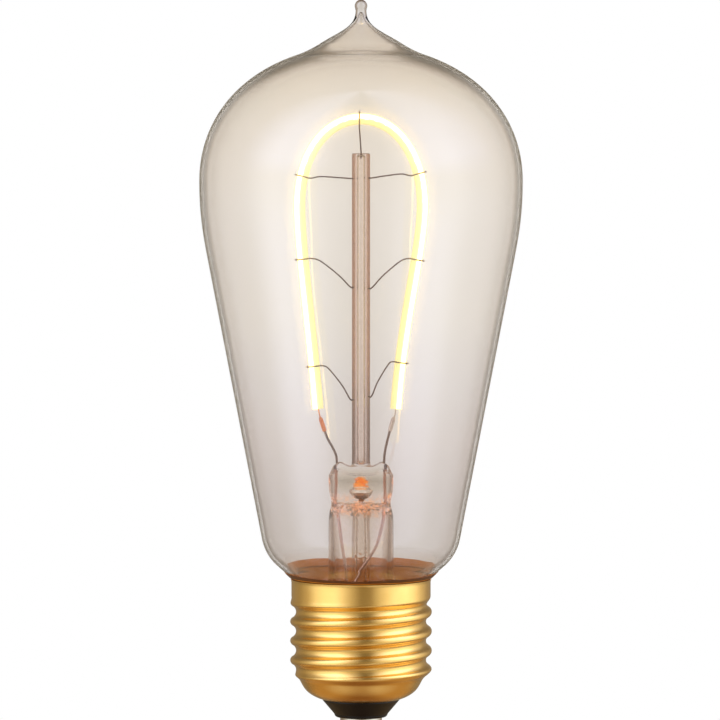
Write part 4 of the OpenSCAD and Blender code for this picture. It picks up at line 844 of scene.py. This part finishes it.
bpy.ops.mesh.remove_doubles(threshold=0.000001)
bpy.ops.mesh.normals_make_consistent(inside=False)
bpy.ops.object.mode_set(mode="OBJECT")
place(envelope, "envelope_glass", "glass_envelope")


def envelope_tint(tree):
    """Painted shade in warm grey: it deepens down to the neck, where the glass is also thick, over the thick
    pip, and edge on.
    """
    # Painted shade by height: palest high in the belly, greyer to the neck and over the pip.
    level = by_height(tree, [
        (33.8, "E7E2DE"), (41.9, "E9E4E1"), (53.4, "EEE9E6"), (63.7, "F1EDEA"), (76.4, "F5F1EC"),
        (86.7, "F6F2ED"), (97.1, "F7F3EE"), (109.7, "F8F3EC"), (116.6, "F9F4EC"), (123.5, "FBF5EC"),
        (129.3, "F4EEE6"), (132.1, "DED8D0"), (135, "CCC4BC")])
    # Painted shade where the wall is seen edge on.
    grazing = add(tree, "LayerWeight", {"Blend": 0.5})
    side = add(tree, "ValToRGB", {0: (grazing, "Facing")}, [
        (0.0, "FFFFFF"), (0.74, "FFFFFF"), (0.78, "DCD9D6"), (0.82, "A8A49F"), (0.89, "74706C"),
        (1.0, "605C58")])
    # In the crown the painted shade at the edge is a broader, darker grey band.
    crown = add(tree, "ValToRGB", {0: (grazing, "Facing")}, [
        (0.0, "FFFFFF"), (0.64, "FFFFFF"), (0.72, "A8A29A"), (0.8, "746E66"), (1.0, "5A544C")])
    edge = add(tree, "Mix", {0: height(tree, 116, 122), 6: side, 7: crown}, data_type="RGBA")
    return add(tree, "Mix", {0: 1.0, 6: level, 7: edge}, data_type="RGBA", blend_type="MULTIPLY")


# A faint warm grey of painted shade where the wall is seen edge on and by height, slow waves, and a trace of
# haze that spreads a glow round the lit strip.
blown_glass = clear_glass("mould-blown soda-lime glass", envelope_tint, 1.5,
                          lambda tree: relief(tree, 25.0, 0.01), haze=(0.06, 0.33))
wear(envelope, blown_glass)

# The studio.
# A white room with tall pale panels to the left and right of a dark gap at the camera. Metal mirrors
# the panels as bright bands, and the glass shows the white wall behind and darkens at its edges.
world = bpy.data.worlds.new("white room")
bpy.context.scene.world = world
world.use_nodes = True
tree = world.node_tree
tree.nodes.clear()
spot = add(tree, "TexCoord")
way = add(tree, "SeparateXYZ", {0: (spot, "Generated")})
front = add(tree, "Math", {0: (way, "Y"), 1: -1.0}, operation="MULTIPLY")
turned = add(tree, "Math", {0: (way, "X"), 1: front}, operation="ARCTAN2")
bearing = add(tree, "MapRange", {"Value": turned, "From Min": -math.pi, "From Max": math.pi})
# Brightness of the room at each angle from the camera, positive to the right, as a share of ROOM_POWER.
ROOM_POWER = 1.92
PANELS = [(-160, 0.16), (-121, 0.2), (-98, 0.33), (-80, 0.6), (-64, 0.76), (-44, 0.78), (-21, 0.42),
          (0, 0.16), (16, 0.19), (31, 0.44), (53, 0.7), (76, 0.82), (93, 0.76), (113, 0.46), (140, 0.22),
          (160, 0.17)]
# A ramp holds colours up to 1, so it holds this share of them and the background makes up the rest.
RAMP_SHARE = 0.6


def room_tone(v, above):
    """White panels and warm gaps. Above eye level the panels are brighter and cooler, the gaps darker."""
    share = min(1, max(0, (v - 0.15) / 0.5))
    power = RAMP_SHARE * v * (1 + above * (0.65 * share - 0.3))
    cool = above * share
    return (power, power * (0.84 + 0.18 * share + 0.06 * cool), power * (0.6 + 0.44 * share + 0.4 * cool), 1)


lower_ring, upper_ring = [
    add(tree, "ValToRGB", {0: bearing}, [((angle + 180) / 360, room_tone(v, share)) for angle, v in PANELS])
    for share in (0.0, 1.0)]
above = add(tree, "MapRange", {"Value": (way, "Z"), "From Min": 0.06, "From Max": 0.3})
walls_round = add(tree, "Mix", {0: above, 6: lower_ring, 7: upper_ring}, data_type="RGBA")
up = add(tree, "MapRange", {"Value": (way, "Z"), "From Min": -1.0, "From Max": 1.0})
# Share of that brightness at each height of the look, from straight down to straight up.
LEVELS = [(-1.0, 0.5), (-0.6, 0.6), (-0.3, 0.9), (-0.1, 1.0), (0.7, 1.0), (0.85, 0.8), (1.0, 0.6)]
level = add(tree, "ValToRGB", {0: up}, [((z + 1) / 2, (v, v, v, 1)) for z, v in LEVELS])
room_colour = add(tree, "Mix", {0: 1.0, 6: walls_round, 7: level}, data_type="RGBA", blend_type="MULTIPLY")
room = add(tree, "Background", {"Color": room_colour, "Strength": ROOM_POWER / RAMP_SHARE})
white = add(tree, "Background", {"Color": "FFFFFF", "Strength": 1.0})
path = add(tree, "LightPath")
# Beside the white wall the back of the room is an even taupe, which the glass bends into its edges.
taupe = add(tree, "Background", {"Color": "C6BAB0", "Strength": 1.0})
rear = add(tree, "MapRange", {"Value": (way, "Y"), "From Min": -0.3, "From Max": 0.1})
bent = add(tree, "Math", {0: (path, "Is Transmission Ray"), 1: rear}, operation="MULTIPLY")
room = add(tree, "MixShader", {0: bent, 1: room, 2: taupe})
# The wall behind is white to the camera, through the glass and in what metal and glass mirror.
behind = []
for ray, low, high in (("Is Glossy Ray", 0.992, 0.998), ("Is Transmission Ray", 0.82, 0.92)):
    cone = add(tree, "MapRange", {"Value": (way, "Y"), "From Min": low, "From Max": high},
               interpolation_type="SMOOTHSTEP")
    behind.append(add(tree, "Math", {0: (path, ray), 1: cone}, operation="MULTIPLY"))
wall = add(tree, "Math", {0: behind[0], 1: behind[1]}, operation="MAXIMUM")
seen = add(tree, "Math", {0: (path, "Is Camera Ray"), 1: wall}, operation="MAXIMUM")
mix = add(tree, "MixShader", {0: seen, 1: room, 2: white})
add(tree, "OutputWorld", {"Surface": mix})

# The floor.
# It lies well below the lamp, pale and matt, and fades out at its edge. Painted shade makes it brown
# right below the lamp and behind it, paler in front and to the sides.
FLOOR_Z, FLOOR_R = -0.3, 0.75
bpy.ops.mesh.primitive_circle_add(vertices=96, radius=FLOOR_R, fill_type="NGON", location=(0, 0, FLOOR_Z))
floor = bpy.context.object
floor.name = "pale floor"
pale_floor, tree = new_material("matt pale floor with painted shade")
distance = add(tree, "VectorMath", {0: (add(tree, "TexCoord"), "Object")}, operation="LENGTH")
fade = add(tree, "MapRange", {"Value": (distance, "Value"), "From Min": 0.3, "From Max": 0.72},
           interpolation_type="SMOOTHSTEP")
# Painted shade: a brown strip right below the lamp, darker behind it, pale in front and to the sides.
depth = add(tree, "MapRange", {"Value": place_along(tree, "Y"), "From Min": -0.3, "From Max": 0.05})
across = add(tree, "Math", {0: place_along(tree, "X")}, operation="ABSOLUTE")
aside = add(tree, "MapRange", {"Value": across, "From Min": 0.03, "From Max": 0.14})
middle = add(tree, "Mix", {0: depth, 6: "D8C09C", 7: "966C42"}, data_type="RGBA")
sides = add(tree, "Mix", {0: depth, 6: "F8EED8", 7: "CCA468"}, data_type="RGBA")
colour = add(tree, "Mix", {0: aside, 6: middle, 7: sides}, data_type="RGBA")
paint_with_painted_shade = add(tree, "BsdfDiffuse", {"Color": colour})
# To the camera the floor is lifted to the white of the wall, and keeps the shadow of the lamp.
path = add(tree, "LightPath")
lift = add(tree, "Emission", {"Color": "FFFFFF", "Strength": (path, "Is Camera Ray")})
lifted = add(tree, "MixShader", {0: 0.6, 1: paint_with_painted_shade, 2: lift})
seen = add(tree, "MixShader", {0: (path, "Is Camera Ray"), 1: paint_with_painted_shade, 2: lifted})
clear = add(tree, "BsdfTransparent")
mix = add(tree, "MixShader", {0: fade, 1: seen, 2: clear})
add(tree, "OutputMaterial", {"Surface": mix})
wear(floor, pale_floor)

# The camera.
# A long lens at belly height, which looks slightly down. Its frame cuts off the lowest part of the
# contact, as the photograph does.
camera_data = bpy.data.cameras.new("camera")
camera_data.sensor_width, camera_data.lens = 36, 242.44
camera_data.clip_start, camera_data.clip_end = 0.05, 20
camera = bpy.data.objects.new("camera", camera_data)
camera.location = (0, -0.9, 0.115)
camera.rotation_euler = (math.radians(90 - 2.9778), 0, math.radians(0.012))
scene = bpy.context.scene
scene.collection.objects.link(camera)
scene.camera = camera
scene.view_settings.view_transform = "Standard"
scene.cycles.max_bounces = 24
scene.cycles.transmission_bounces = 24
scene.cycles.glossy_bounces = 12
scene.cycles.transparent_max_bounces = 24
